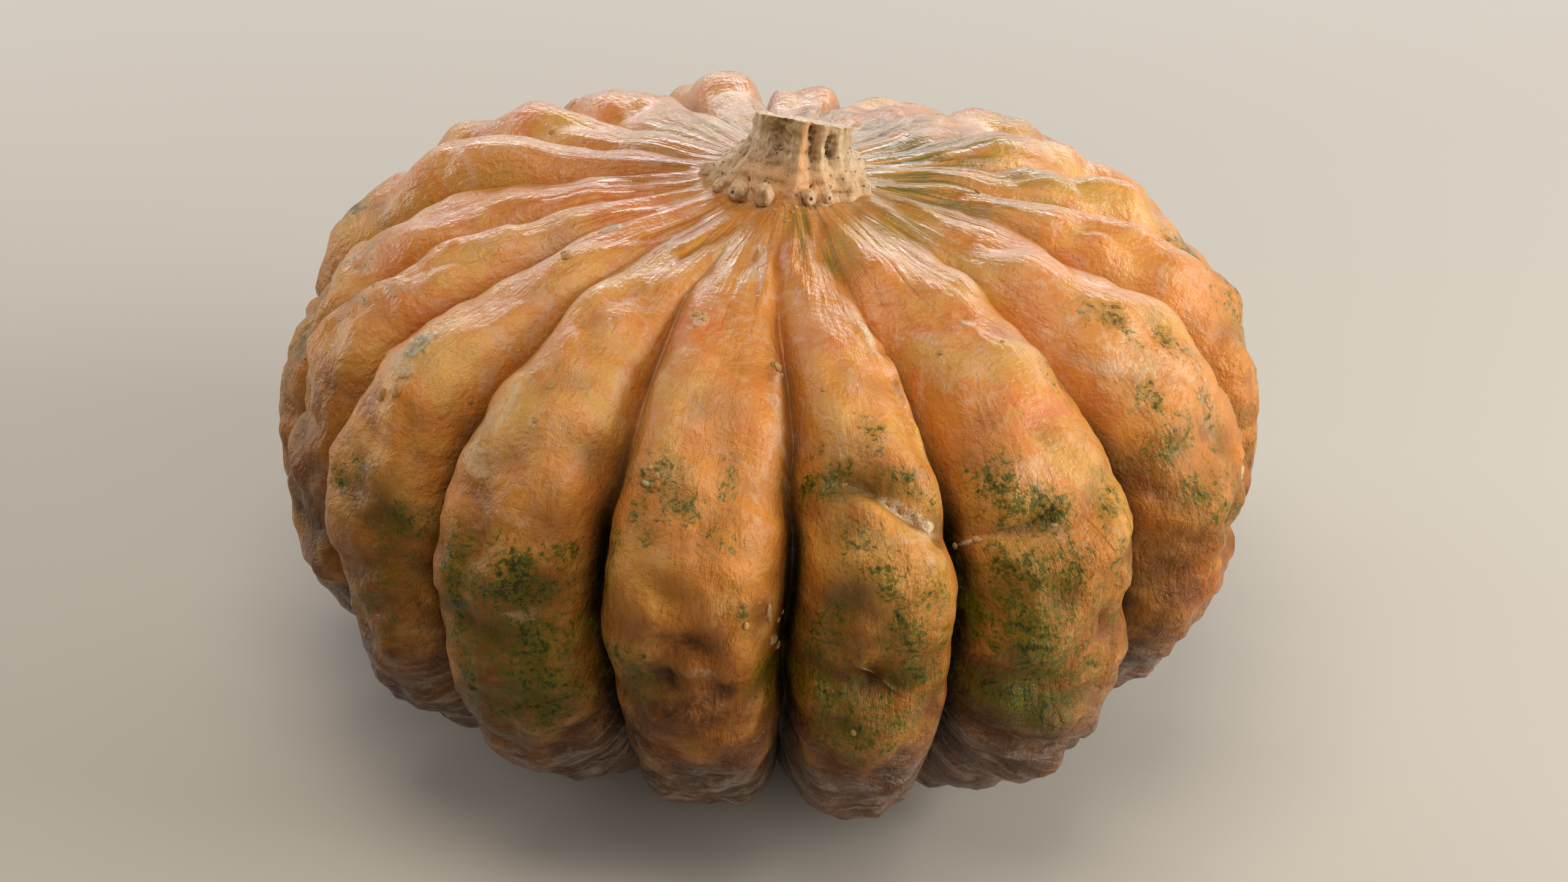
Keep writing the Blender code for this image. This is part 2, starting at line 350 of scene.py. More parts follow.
    # Skin relief: wrinkles down the ribs, rays round the stem, ripples, bands underneath, crumbs on cork
    leathery = s.plus(s.times(s.fade(way, 0.28, 0.46), 0.95), 0.60)
    wrinkles = s.times(s.noise(streaks, 210.0, 5.0, 0.60, 0.8), s.times(leathery, s.fade(way, 0.12, 0.26)))
    rays = s.times(s.noise(streaks, 55.0, 4.0, 0.50, 0.6), s.fade(way, 0.28, 0.14))
    bandsHeight = s.times(s.noise(bands, 130.0, 6.0, 0.62, 1.3), s.fade(way, 0.50, 0.60))
    settings = [("Roughness", rough), ("Specular IOR Level", rindFinish["specular"]),
                ("Coat Weight", coat), ("Coat Roughness", rindFinish["coatRoughness"])]
    return s.finish(settings, [
        (0.50, 0.0024, wrinkles), (0.70, 0.0050, rays), (0.50, 0.0030, s.times(small, leathery)),
        (0.90, 0.0060, bandsHeight), (0.55, 0.0009, tiny),
        (0.25, 0.0007, s.cells(place, 460.0, "SMOOTH_F1")), (0.9, 0.0012, s.times(crumbs, cork)),
    ])


stemFinish = {
    "tan": "C6A478", "pale": "D8C29C", "ochre": "C88C48", "orange": "D88C40", "brown": "7A5228", "dark": "3C2412",
    "stain": "8C8224", "cut": "DCC9A4", "roughness": 0.52, "specular": 0.5, "coat": 0.18, "coatRoughness": 0.25,
}


def makeStemMaterial():
    s = Shader("dry stem", stemFinish, "tan")
    place = s.place()
    fibre = s.noise(s.stretched(place, (1.0, 1.0, 0.16)), 520.0, 5.0, 0.65, 0.3)
    cloud = s.noise(place, 160.0, 5.0, 0.6, 0.5)
    crumbs = s.noise(place, 900.0, 4.0, 0.65)
    pit, cut = s.attribute("pit"), s.attribute("cut")
    s.lay("pale", s.fade(cloud, 0.35, 0.65))
    s.lay("brown", s.fade(fibre, 0.56, 0.36), 0.45)
    s.lay("orange", s.attribute("foot"), s.fade(cloud, 0.30, 0.62))
    s.lay("stain", s.times(s.attribute("stain"), s.fade(cloud, 0.25, 0.60)), 0.85)
    # Painted shade: brown in the valleys between the ridges
    s.lay("brown", s.attribute("valleyShade"), 0.65)
    porous = s.plus(pit, s.times(s.minus(crumbs, 0.5), s.fade(pit, 0.05, 0.30)))
    s.lay("dark", s.fade(porous, 0.20, 0.80))
    s.lay(s.mix(s.fade(crumbs, 0.35, 0.65), s.look["ochre"], s.look["cut"]), cut, 0.9)
    rough = s.plus(s.times(cloud, 0.25), stemFinish["roughness"] - 0.12)
    rough = s.minus(rough, s.times(cut, 0.20), True)
    settings = [("Roughness", rough), ("Specular IOR Level", stemFinish["specular"]),
                ("Coat Weight", stemFinish["coat"]), ("Coat Roughness", stemFinish["coatRoughness"])]
    return s.finish(settings, [(0.6, 0.0010, fibre), (0.5, 0.0006, crumbs)])


wartFinish = {"tan": "B8803E", "pale": "BE9C68", "dark": "6B4A2A", "roughness": 0.55, "specular": 0.25}


def makeWartMaterial():
    s = Shader("corky warts", wartFinish, "tan")
    place = s.place()
    crumbs = s.noise(place, 1500.0, 4.0, 0.65)
    s.lay("pale", s.fade(s.noise(place, 260.0, 3.0, 0.6), 0.40, 0.60))
    s.lay("dark", s.fade(crumbs, 0.48, 0.34), 0.6)
    settings = [("Roughness", wartFinish["roughness"]), ("Specular IOR Level", wartFinish["specular"])]
    return s.finish(settings, [(0.5, 0.0004, crumbs)])


rindMaterial = makeRindMaterial()
stemMaterial = makeStemMaterial()
wartMaterial = makeWartMaterial()
print("materials made:", rindMaterial.name, "and", stemMaterial.name, "and", wartMaterial.name)


# The fruit: a sphere of rings and meridians, moved onto the ribbed rind
# Directions are degrees round the fruit, 0 at the front and growing to the right;
# way is how far down from the stem (0) to the middle of the underside (1)

fruitForm = {
    "crestRadius": 0.19, "widestHeight": 0.1105, "shoulderRise": 0.1013, "undersideDrop": 0.112,
    "shoulderSquareness": 2.66, "undersideSquareness": 2.46, "neckRise": 0.003, "neckRadius": 0.045,
    "stemOffset": 0.006, "offsetReach": 0.13, "boxMiddle": (0.0004, 0.0004, 0.0),
    "grooveDepth": 0.017, "ribRoundness": 2.7,
    "shoulderWay": 0.24, "sideWay": 0.46, "undersideWay": 0.68, "swellingReach": 0.12,
    "lumps": [(0.042, 0.0055), (0.021, 0.0016)], "lumpSeed": (3.1, 7.7, 1.9),
    # Finer than the solid: the crevice at the bottom of each groove, wavy grooves, knobbly swellings
    # on the shoulders behind, and small lumps
    "creviceDepth": 0.014, "creviceSharpness": 8.5,
    "grooveWobble": 1.1, "wobbleLength": 0.03,
    "knobs": (0.04, 0.0026), "knobsInFront": 0.25,
    "creases": (0.024, 0.0014),
    "smallLumps": [(0.018, 0.0032), (0.0095, 0.0021), (0.0048, 0.0007)],
    # The tongue of rind that runs up to the stem in front: direction, half width, height, where it ends
    "tongue": (-2.0, 0.0105, 0.0085, 0.12), "collarRise": 0.0014,
    "stepsPerRib": 30, "rings": 150, "crestShare": 0.35, "ringCrowding": 0.25,
    "refineCuts": 3, "refineMargin": 0.0012,
}

# Each groove: direction, its swing aside on the shoulder and the underside (degrees), then how far
# the rib on its right swells on the shoulder, the side and the underside (mm)
groovesAndRibs = np.array([
    (-177.0, 0, 0, 3, 0, 0), (-160.0, 0, 0, 0, 0, 0), (-137.0, 0, 0, 5, 0, 0), (-116.0, 0, 0, 7, 0, 0),
    (-97.0, 0, 0, -1, -3, -1), (-77.0, 2, 1, 0, -3, -5), (-60.5, 1, 2, 0, 0, 0), (-41.0, 0, 1.5, 0, 0, -1),
    (-19.2, -1, 2, 0, 0, -3), (3.2, -4, 0, 0, 0, 0), (23.3, -6, 1, 0, 0, 5), (48.3, 4, 2, 0, 1, -6),
    (75.5, 3, -1, 0, 1, 0), (93.0, 0, 0, 1, -1, 0), (108.0, 0, 0, 2, 0, 0), (128.0, 0, 0, -1, 0, 0),
    (150.0, 0, 0, -8, 0, 0), (168.0, 0, 0, -8, 0, 0),
])
ribCount = len(groovesAndRibs)

# Folds and dents (minus) and bumps (plus): direction, way, half length, half width,
# turn of the length from level (degrees, falling to the right), height
foldsAndBumps = [
    (15.5, 0.365, 0.024, 0.006, 40, -0.006), (11.0, 0.33, 0.02, 0.015, 30, 0.003),
    (14.0, 0.415, 0.024, 0.015, 25, 0.0035), (12.0, 0.495, 0.028, 0.014, 35, -0.0045),
    (30.0, 0.4, 0.022, 0.007, 5, -0.0045), (32.0, 0.525, 0.02, 0.008, 5, -0.003),
    (35.0, 0.46, 0.02, 0.02, 0, 0.003), (53.0, 0.4, 0.012, 0.02, 90, -0.003),
    (58.0, 0.47, 0.016, 0.016, 0, 0.003), (-8.0, 0.47, 0.014, 0.012, 60, -0.0035),
    (-25.5, 0.46, 0.04, 0.007, 90, -0.003), (-33.0, 0.47, 0.04, 0.007, 90, -0.0025),
    (-18.5, 0.205, 0.02, 0.01, 75, 0.004), (-52.0, 0.31, 0.022, 0.018, 0, 0.003),
    (1.0, 0.095, 0.03, 0.009, 90, 0.004), (17.0, 0.11, 0.024, 0.007, 90, -0.0035),
]

# Smaller ones that only the fine rind has
fineFolds = [
    (13.5, 0.36, 0.021, 0.0028, 38, -0.005), (8.0, 0.345, 0.009, 0.004, 30, -0.0025),
    (16.5, 0.392, 0.018, 0.005, 38, 0.003), (17.5, 0.345, 0.012, 0.009, 20, 0.003),
    (30.0, 0.398, 0.017, 0.0022, 5, -0.0034), (8.5, 0.5, 0.013, 0.005, 10, -0.0036),
    (30.0, 0.512, 0.018, 0.003, 5, -0.0022), (33.0, 0.545, 0.016, 0.003, 8, -0.0022),
    (-9.5, 0.492, 0.0052, 0.005, 0, -0.0044), (-6.5, 0.462, 0.0075, 0.0045, 10, -0.0024),
    (-4.0, 0.502, 0.0045, 0.006, 0, -0.0024), (-7.0, 0.479, 0.006, 0.0045, 0, 0.0044),
    (-10.5, 0.44, 0.0052, 0.0045, 20, 0.0034), (-12.5, 0.474, 0.005, 0.0065, 0, 0.0032),
    (-2.5, 0.47, 0.0055, 0.007, 0, 0.0032), (-6.2, 0.42, 0.0055, 0.0048, 0, 0.003),
    (-9.3, 0.405, 0.0055, 0.0045, 0, 0.0022), (-8.2, 0.442, 0.0045, 0.0042, 0, 0.0024),
    (-5.0, 0.44, 0.0046, 0.0044, 0, 0.0024), (-12.0, 0.425, 0.0048, 0.0045, 0, 0.0022),
    (-3.2, 0.407, 0.0055, 0.0045, 0, 0.002), (-8.4, 0.424, 0.0045, 0.004, 0, -0.0018),
    (-7.0, 0.52, 0.009, 0.005, 0, 0.002), (-13.0, 0.5, 0.006, 0.006, 0, -0.0022),
    (2.0, 0.34, 0.03, 0.006, 90, 0.0015), (0.0, 0.31, 0.01, 0.01, 0, 0.0016),
    (16.0, 0.335, 0.01, 0.008, 30, 0.0016), (10.0, 0.47, 0.009, 0.012, 0, 0.002),
    (16.0, 0.535, 0.022, 0.004, 15, -0.0014), (9.0, 0.535, 0.014, 0.004, 10, -0.0014),
    (30.5, 0.425, 0.02, 0.005, 5, 0.0018), (37.0, 0.415, 0.005, 0.005, 0, 0.0012),
    (53.5, 0.375, 0.007, 0.012, 90, 0.0018), (53.0, 0.435, 0.01, 0.005, 20, -0.0022),
    (62.0, 0.3, 0.014, 0.009, 60, 0.0022), (66.0, 0.37, 0.014, 0.01, 60, 0.0024),
    (43.0, 0.2, 0.01, 0.008, 60, 0.0022), (37.0, 0.17, 0.01, 0.008, 50, 0.0022),
    (80.0, 0.22, 0.012, 0.009, 60, 0.0026), (86.0, 0.28, 0.012, 0.009, 60, 0.0026),
    (99.0, 0.22, 0.012, 0.009, 60, 0.0024), (101.0, 0.29, 0.012, 0.009, 60, 0.0026),
    (117.0, 0.25, 0.014, 0.01, 60, 0.0024), (-30.0, 0.225, 0.012, 0.008, 0, 0.0016),
    (-49.0, 0.19, 0.01, 0.01, 0, 0.0018), (-86.0, 0.3, 0.012, 0.009, 60, 0.0022),
    (-84.0, 0.36, 0.012, 0.009, 60, 0.002), (-106.0, 0.26, 0.014, 0.01, 60, 0.0024),
    (-126.0, 0.24, 0.014, 0.01, 60, 0.0026), (-38.0, 0.4, 0.008, 0.014, 0, 0.0016),
    (-50.0, 0.43, 0.01, 0.008, 0, -0.0016), (-46.0, 0.445, 0.01, 0.006, 10, -0.0018),
]

# Flutes that run out from the stem: direction, way where they start and end, half width, height
flutes = [
    (-172, 0.05, 0.17, 0.0035, 0.0016), (-150, 0.05, 0.15, 0.003, 0.0018),
    (-129, 0.05, 0.17, 0.0035, 0.0018), (-108, 0.05, 0.15, 0.003, 0.0018), (-92, 0.05, 0.16, 0.0028, 0.002),
    (-79, 0.05, 0.18, 0.0026, -0.0018), (-68, 0.05, 0.15, 0.0028, 0.002), (-55, 0.05, 0.18, 0.0026, 0.0018),
    (-47, 0.05, 0.17, 0.0022, -0.0016), (-34, 0.06, 0.18, 0.0028, 0.0018),
    (-26, 0.07, 0.19, 0.0022, -0.0014), (-20, 0.07, 0.17, 0.0022, 0.0014),
    (-9, 0.06, 0.18, 0.0026, -0.0022), (-5, 0.07, 0.2, 0.0022, 0.0022), (6, 0.06, 0.2, 0.0024, 0.0026),
    (9.5, 0.05, 0.17, 0.0018, -0.0022), (12, 0.06, 0.17, 0.0022, 0.002), (27, 0.06, 0.16, 0.003, 0.002),
    (36, 0.05, 0.09, 0.002, 0.0034), (45, 0.05, 0.16, 0.0026, -0.0016), (56, 0.05, 0.17, 0.0028, 0.002),
    (68, 0.05, 0.16, 0.0026, 0.0018), (84, 0.05, 0.18, 0.003, 0.0018), (100, 0.05, 0.17, 0.0028, 0.0018),
    (118, 0.05, 0.16, 0.003, 0.0018), (139, 0.05, 0.17, 0.0034, 0.0018), (158, 0.05, 0.15, 0.003, 0.0016),
]

# Lines on the skin: direction and way of each point, half width, height, and how corky they are
skinLines = [
    ([(13.4, .358), (15.4, .366), (17.2, .374), (18.8, .381), (20.8, .39)], 0.0023, 0.0018, 1.0),
    ([(9.2, .476), (10.3, .485), (11.5, .492), (12.6, .499), (13.8, .506), (15.2, .512)], 0.0008, 0.0009, 0.55),
    ([(24.2, .407), (25.0, .402), (25.9, .4)], 0.0009, 0.001, 0.9),
    ([(-14.2, .351), (-13.2, .353)], 0.001, 0.0012, 0.8),
    ([(0.8, .437), (0.9, .447)], 0.0012, 0.0012, 0.7),
    ([(1.3, .47), (1.5, .48)], 0.0015, 0.0012, 0.7),
    ([(1.8, .486), (2.1, .494)], 0.0012, 0.0012, 0.7),
    ([(35.2, .222), (36.2, .245)], 0.0016, 0.0008, 0.5),
    ([(1.0, .235), (1.5, .245), (1.6, .262), (2.2, .29), (2.8, .33), (3.2, .375)], 0.0028, 0.0026, 0.45),
    ([(16.8, .185), (17.6, .215), (18.8, .25)], 0.0035, 0.002, 0.65),
    ([(21.5, .215), (21.6, .24), (20.6, .27), (20.8, .315)], 0.0026, 0.0036, 0.0),
    ([(57.5, .285), (59.0, .3)], 0.0014, -0.0009, 0.0),
    ([(-58.0, .345), (-57.0, .33)], 0.001, 0.0008, 0.4),
    ([(-46.0, .545), (-44.0, .548)], 0.001, 0.0008, 0.3),
]

# Scabs: direction, way, half length, half width, turn, height, cork, grey
scabs = [
    (-51.6, .318, 0.0068, 0.0046, 70, 0.0009, 0.35, 0.85),
    (-52.6, .334, 0.0058, 0.0042, 0, 0.0006, 0.4, 0.15),
    (-50.2, .336, 0.005, 0.0036, 0, 0.0006, 0.45, 0.1),
    (-68.0, .3, 0.0055, 0.0045, 30, 0.0007, 0.3, 0.2),
    (-56.0, .15, 0.005, 0.003, 60, 0.0006, 0.3, 0.9),
    (-13.5, .213, 0.004, 0.0028, 70, 0.0007, 0.45, 0.0),
    (61.5, .375, 0.004, 0.003, 0, -0.0008, 0.25, 0.4),
    (68.5, .455, 0.006, 0.005, 0, -0.0016, 0.6, 0.0),
    (-36.0, .345, 0.007, 0.0055, 60, 0.0003, 0.1, 0.35),
    (133.0, .33, 0.006, 0.005, 20, 0.0008, 0.32, 0.4),
    (-141.0, .29, 0.007, 0.005, 70, 0.0009, 0.35, 0.5),
]

# Colour patches: direction, way, half width round the fruit, half height down the rib, strength
greenPatches = [
    (-13.0, .345, .01, .008, .58), (-9.5, .365, .008, .006, .66), (-13.0, .375, .006, .01, .47),
    (-4.0, .342, .004, .008, .7), (-4.5, .385, .005, .005, .78), (-16.5, .4, .005, .007, .47),
    (-17.5, .43, .004, .013, .51), (-14.5, .48, .01, .008, .7), (-13.0, .498, .008, .006, .62),
    (0.5, .51, .006, .014, .66), (-2.0, .435, .004, .004, .39), (-12.5, .508, .007, .006, .74),
    (6.5, .337, .01, .006, .81), (8.5, .347, .006, .005, .72), (13.0, .315, .005, .011, .54),
    (6.5, .32, .004, .004, .5), (15.5, .35, .011, .005, .54), (19.0, .362, .006, .006, .41),
    (10.5, .39, .007, .01, .54), (13.0, .41, .006, .007, .72), (17.0, .43, .01, .012, .45),
    (18.5, .465, .009, .016, .45), (15.0, .455, .008, .012, .99), (15.8, .49, .008, .012, .81),
    (8.0, .435, .007, .01, .63), (7.0, .47, .009, .014, .68), (7.0, .512, .014, .008, .85),
    (10.0, .54, .016, .01, .81), (13.5, .525, .01, .008, .72), (18.0, .505, .009, .014, .45),
    (28.0, .362, .008, .012, .76), (30.5, .38, .01, .009, .84), (33.0, .393, .009, .007, .92),
    (27.0, .42, .007, .008, .84), (29.5, .435, .01, .01, .92), (33.5, .432, .007, .008, .71),
    (28.5, .475, .014, .016, .92), (31.5, .505, .014, .014, .92), (28.5, .535, .016, .014, .92),
    (33.0, .55, .012, .01, .76), (37.0, .47, .006, .018, .55), (40.0, .42, .009, .022, .42),
    (43.0, .3, .008, .012, .38), (42.0, .47, .007, .02, .38), (36.5, .53, .012, .012, .5),
    (57.0, .27, .008, .007, .29), (58.5, .295, .004, .012, .65), (54.0, .35, .006, .01, .5),
    (54.0, .387, .01, .008, .79), (57.0, .44, .012, .012, .54), (63.0, .33, .005, .014, .43),
    (62.0, .42, .006, .03, .36), (66.0, .48, .01, .016, .43), (60.0, .49, .012, .014, .29),
    (-26.5, .43, .01, .01, 1.00), (-27.0, .448, .014, .01, 1.1), (-34.0, .445, .008, .012, .9),
    (-33.5, .48, .007, .02, .85), (-25.0, .495, .012, .014, 1.1), (-24.0, .525, .014, .016, 1.1),
    (-24.0, .415, .01, .005, .55), (-32.0, .53, .006, .022, .8), (-28.0, .55, .012, .012, .7),
    (-50.0, .415, .008, .007, .6), (-45.0, .44, .009, .007, .85), (-53.5, .43, .004, .008, .55),
    (-46.0, .5, .014, .02, .35), (-50.0, .53, .014, .016, .35), (-70.0, .33, .006, .014, .36),
    (-75.0, .38, .005, .016, .39), (-76.0, .44, .006, .03, .48), (-86.0, .33, .01, .014, .27),
    (-88.0, .4, .012, .02, .33),
]
palePatches = [
    (-16.0, .34, .01, .01, .45), (-27.0, .335, .012, .01, .4), (-34.0, .318, .003, .016, .9),
    (-36.0, .345, .003, .012, .9), (-35.0, .368, .006, .007, .95), (-28.0, .395, .007, .005, .55),
    (-32.0, .405, .006, .014, .5), (-52.0, .395, .007, .007, .45), (-49.0, .432, .009, .006, .6),
    (33.0, .36, .016, .01, .55), (34.0, .41, .014, .006, .5), (18.0, .4, .01, .008, .45),
    (-1.0, .36, .008, .02, .45), (54.0, .27, .01, .008, .5), (57.0, .325, .02, .026, .58),
    (62.0, .37, .014, .03, .52), (60.0, .24, .016, .02, .45), (17.5, .388, .016, .004, .7),
    (-26.5, .47, .008, .005, .6), (-6.0, .485, .006, .006, .5), (-20.0, .135, .003, .03, .7),
    (-6.0, .15, .003, .03, .7), (-72.0, .3, .014, .01, .35), (-40.0, .26, .012, .01, .3),
]
blushPatches = [
    (36.0, .32, .018, .009, .75), (41.0, .335, .01, .008, .55), (35.5, .235, .008, .012, .7),
    (11.0, .232, .01, .007, .55), (-27.0, .35, .012, .006, .55), (-28.0, .362, .008, .005, .6),
    (-11.0, .265, .012, .01, .35), (-14.0, .212, .01, .012, .6), (-62.0, .13, .014, .022, .85),
    (-95.0, .12, .02, .024, .8), (-80.0, .14, .02, .022, .8), (-40.0, .11, .01, .02, .7),
    (88.0, .14, .014, .014, .5), (-62.0, .3, .012, .01, .45), (52.0, .25, .014, .01, .4),
    (36.0, .5, .01, .008, .6), (60.0, .52, .014, .02, .55), (75.0, .4, .014, .02, .4),
    (30.0, .2, .01, .01, .4),
]
# Painted shade: brown in the folds and dents and low on shaded ribs
shadePatches = [
    (-9.5, .492, .0065, .0055, 1.2), (-6.5, .462, .01, .005, .9), (-4.0, .502, .006, .007, .9),
    (-8.5, .455, .012, .005, .6), (-8.0, .522, .02, .012, .95), (12.0, .35, .018, .006, .55),
    (11.0, .495, .012, .008, .7), (10.0, .46, .012, .014, .4), (30.0, .47, .02, .024, .35),
    (30.0, .54, .022, .018, .55), (-46.0, .46, .02, .02, .4), (-47.0, .52, .024, .03, .65),
    (-27.0, .52, .02, .024, .8), (-29.0, .465, .02, .018, .45), (-64.0, .44, .014, .03, .45),
    (-66.0, .5, .018, .03, .65), (-33.0, .45, .008, .03, .55), (-24.0, .44, .006, .03, .35),
    (54.0, .395, .01, .01, .6), (53.0, .48, .01, .018, .5), (26.0, .335, .01, .01, .45),
]
olivePatches = [
    (85.0, .11, .022, .04, 1.0), (118.0, .12, .034, .045, 1.0), (150.0, .12, .034, .04, .85),
    (16.0, .115, .007, .02, .8), (8.5, .085, .004, .022, .85), (-150.0, .11, .03, .03, .55),
    (-112.0, .105, .022, .025, .45), (-35.0, .12, .012, .02, .45), (50.0, .115, .014, .024, .7),
    (103.0, .2, .02, .03, .6), (130.0, .22, .03, .03, .45), (175.0, .13, .03, .03, .5),
]

# The side that the photograph hides is mottled in the same way
random.seed(11)
for count in range(46):
    spot = random.uniform(78.0, 282.0)
    size = random.uniform(0.006, 0.014)
    patch = (turnBetween(spot, 0.0), random.uniform(0.33, 0.56), size, size * random.uniform(0.7, 1.8))
    greenPatches.append(patch + (random.uniform(0.35, 1.0),))
for count in range(16):
    spot = turnBetween(random.uniform(95.0, 265.0), 0.0)
    # Painted shade low on the ribs
    shadePatches.append((spot, random.uniform(0.46, 0.56), 0.020, 0.022, random.uniform(0.4, 0.7)))
    palePatches.append((turnBetween(spot + 17.0, 0.0), random.uniform(0.22, 0.42), 0.012, 0.010, 0.45))


def crestLine():
    # Radius, height and way along a rib's crest
    form = fruitForm
    angle = np.linspace(0.0, pi, 601)
    upper = angle < pi / 2
    power = 2.0 / np.where(upper, form["shoulderSquareness"], form["undersideSquareness"])
    radius = form["crestRadius"] * np.abs(np.sin(angle)) ** power
    rise = np.abs(np.cos(angle)) ** power
    height = form["widestHeight"] + np.where(upper, form["shoulderRise"], -form["undersideDrop"]) * rise
    height += np.where(upper, form["neckRise"] * bell(radius, 0.0, form["neckRadius"]), 0.0)
    height = np.maximum(height, 0.0)
    steps = np.hypot(np.diff(radius), np.diff(height))
    length = np.concatenate([[0.0], np.cumsum(steps)])
    return radius, height, length / length[-1], length[-1]


lineRadius, lineHeight, lineWay, crestLength = crestLine()
fruitTop = lineHeight[0]


def crestAt(way):
    return np.interp(way, lineWay, lineRadius), np.interp(way, lineWay, lineHeight)


def grooveDirection(rib, way):
    row = groovesAndRibs[rib % ribCount]
    length = way * crestLength / fruitForm["wobbleLength"]
    wobble = grain(np.stack([rib % ribCount * 1.0, length, 0.0 * way], -1), 1.0, 5)
    wobble *= fruitForm["grooveWobble"] * blendIn(way, 0.10, 0.24) * (1.0 - blendIn(way, 0.62, 0.85))
    swing = row[..., 1] * (1 - blendIn(way, 0.12, 0.26)) + row[..., 2] * blendIn(way, 0.45, 0.70)
    return row[..., 0] + swing + wobble


def acrossAndDown(direction, way, atDirection, atWay):
    # Metres from a place on the rind, round the fruit and down the rib
    radius = crestAt(way)[0]
    return np.radians(turnBetween(direction, atDirection)) * radius, (way - atWay) * crestLength


def ovalShare(direction, way, at, atWay, halfLength, halfWidth, turn):
    across, down = acrossAndDown(direction, way, at, atWay)
    c, s = cos(radians(turn)), sin(radians(turn))
    return ((across * c + down * s) / halfLength) ** 2 + ((down * c - across * s) / halfWidth) ** 2


def distanceToLine(direction, way, path):
    # Distance from a line on the rind, and how far along the line the nearest point is
    first, firstWay = path[0]
    x, y = acrossAndDown(direction, way, first, firstWay)
    corners = [tuple(float(v) for v in acrossAndDown(d, w, first, firstWay)) for d, w in path]
    best = np.full(np.shape(x), 1.0)
    along = np.zeros(np.shape(x))
    for index, ((ax, ay), (bx, by)) in enumerate(zip(corners, corners[1:])):
        lengthSquared = (bx - ax) ** 2 + (by - ay) ** 2
        share = np.clip(((x - ax) * (bx - ax) + (y - ay) * (by - ay)) / lengthSquared, 0.0, 1.0)
        away = np.hypot(x - ax - share * (bx - ax), y - ay - share * (by - ay))
        nearer = away < best
        best = np.where(nearer, away, best)
        along = np.where(nearer, (index + share) / (len(corners) - 1), along)
    return best, along


def foldHeight(direction, way, folds):
    total = np.zeros(np.shape(way))
    for at, atWay, halfLength, halfWidth, turn, height in folds:
        total += height * np.exp(-ovalShare(direction, way, at, atWay, halfLength, halfWidth, turn))
    return total


def patchAmount(direction, way, patches):
    amount = np.zeros(np.shape(way))
    for at, atWay, halfAcross, halfDown, strength in patches:
        oval = ovalShare(direction, way, at, atWay, halfAcross, halfDown, 0)
        amount = np.maximum(amount, strength * np.exp(-oval))
    return amount


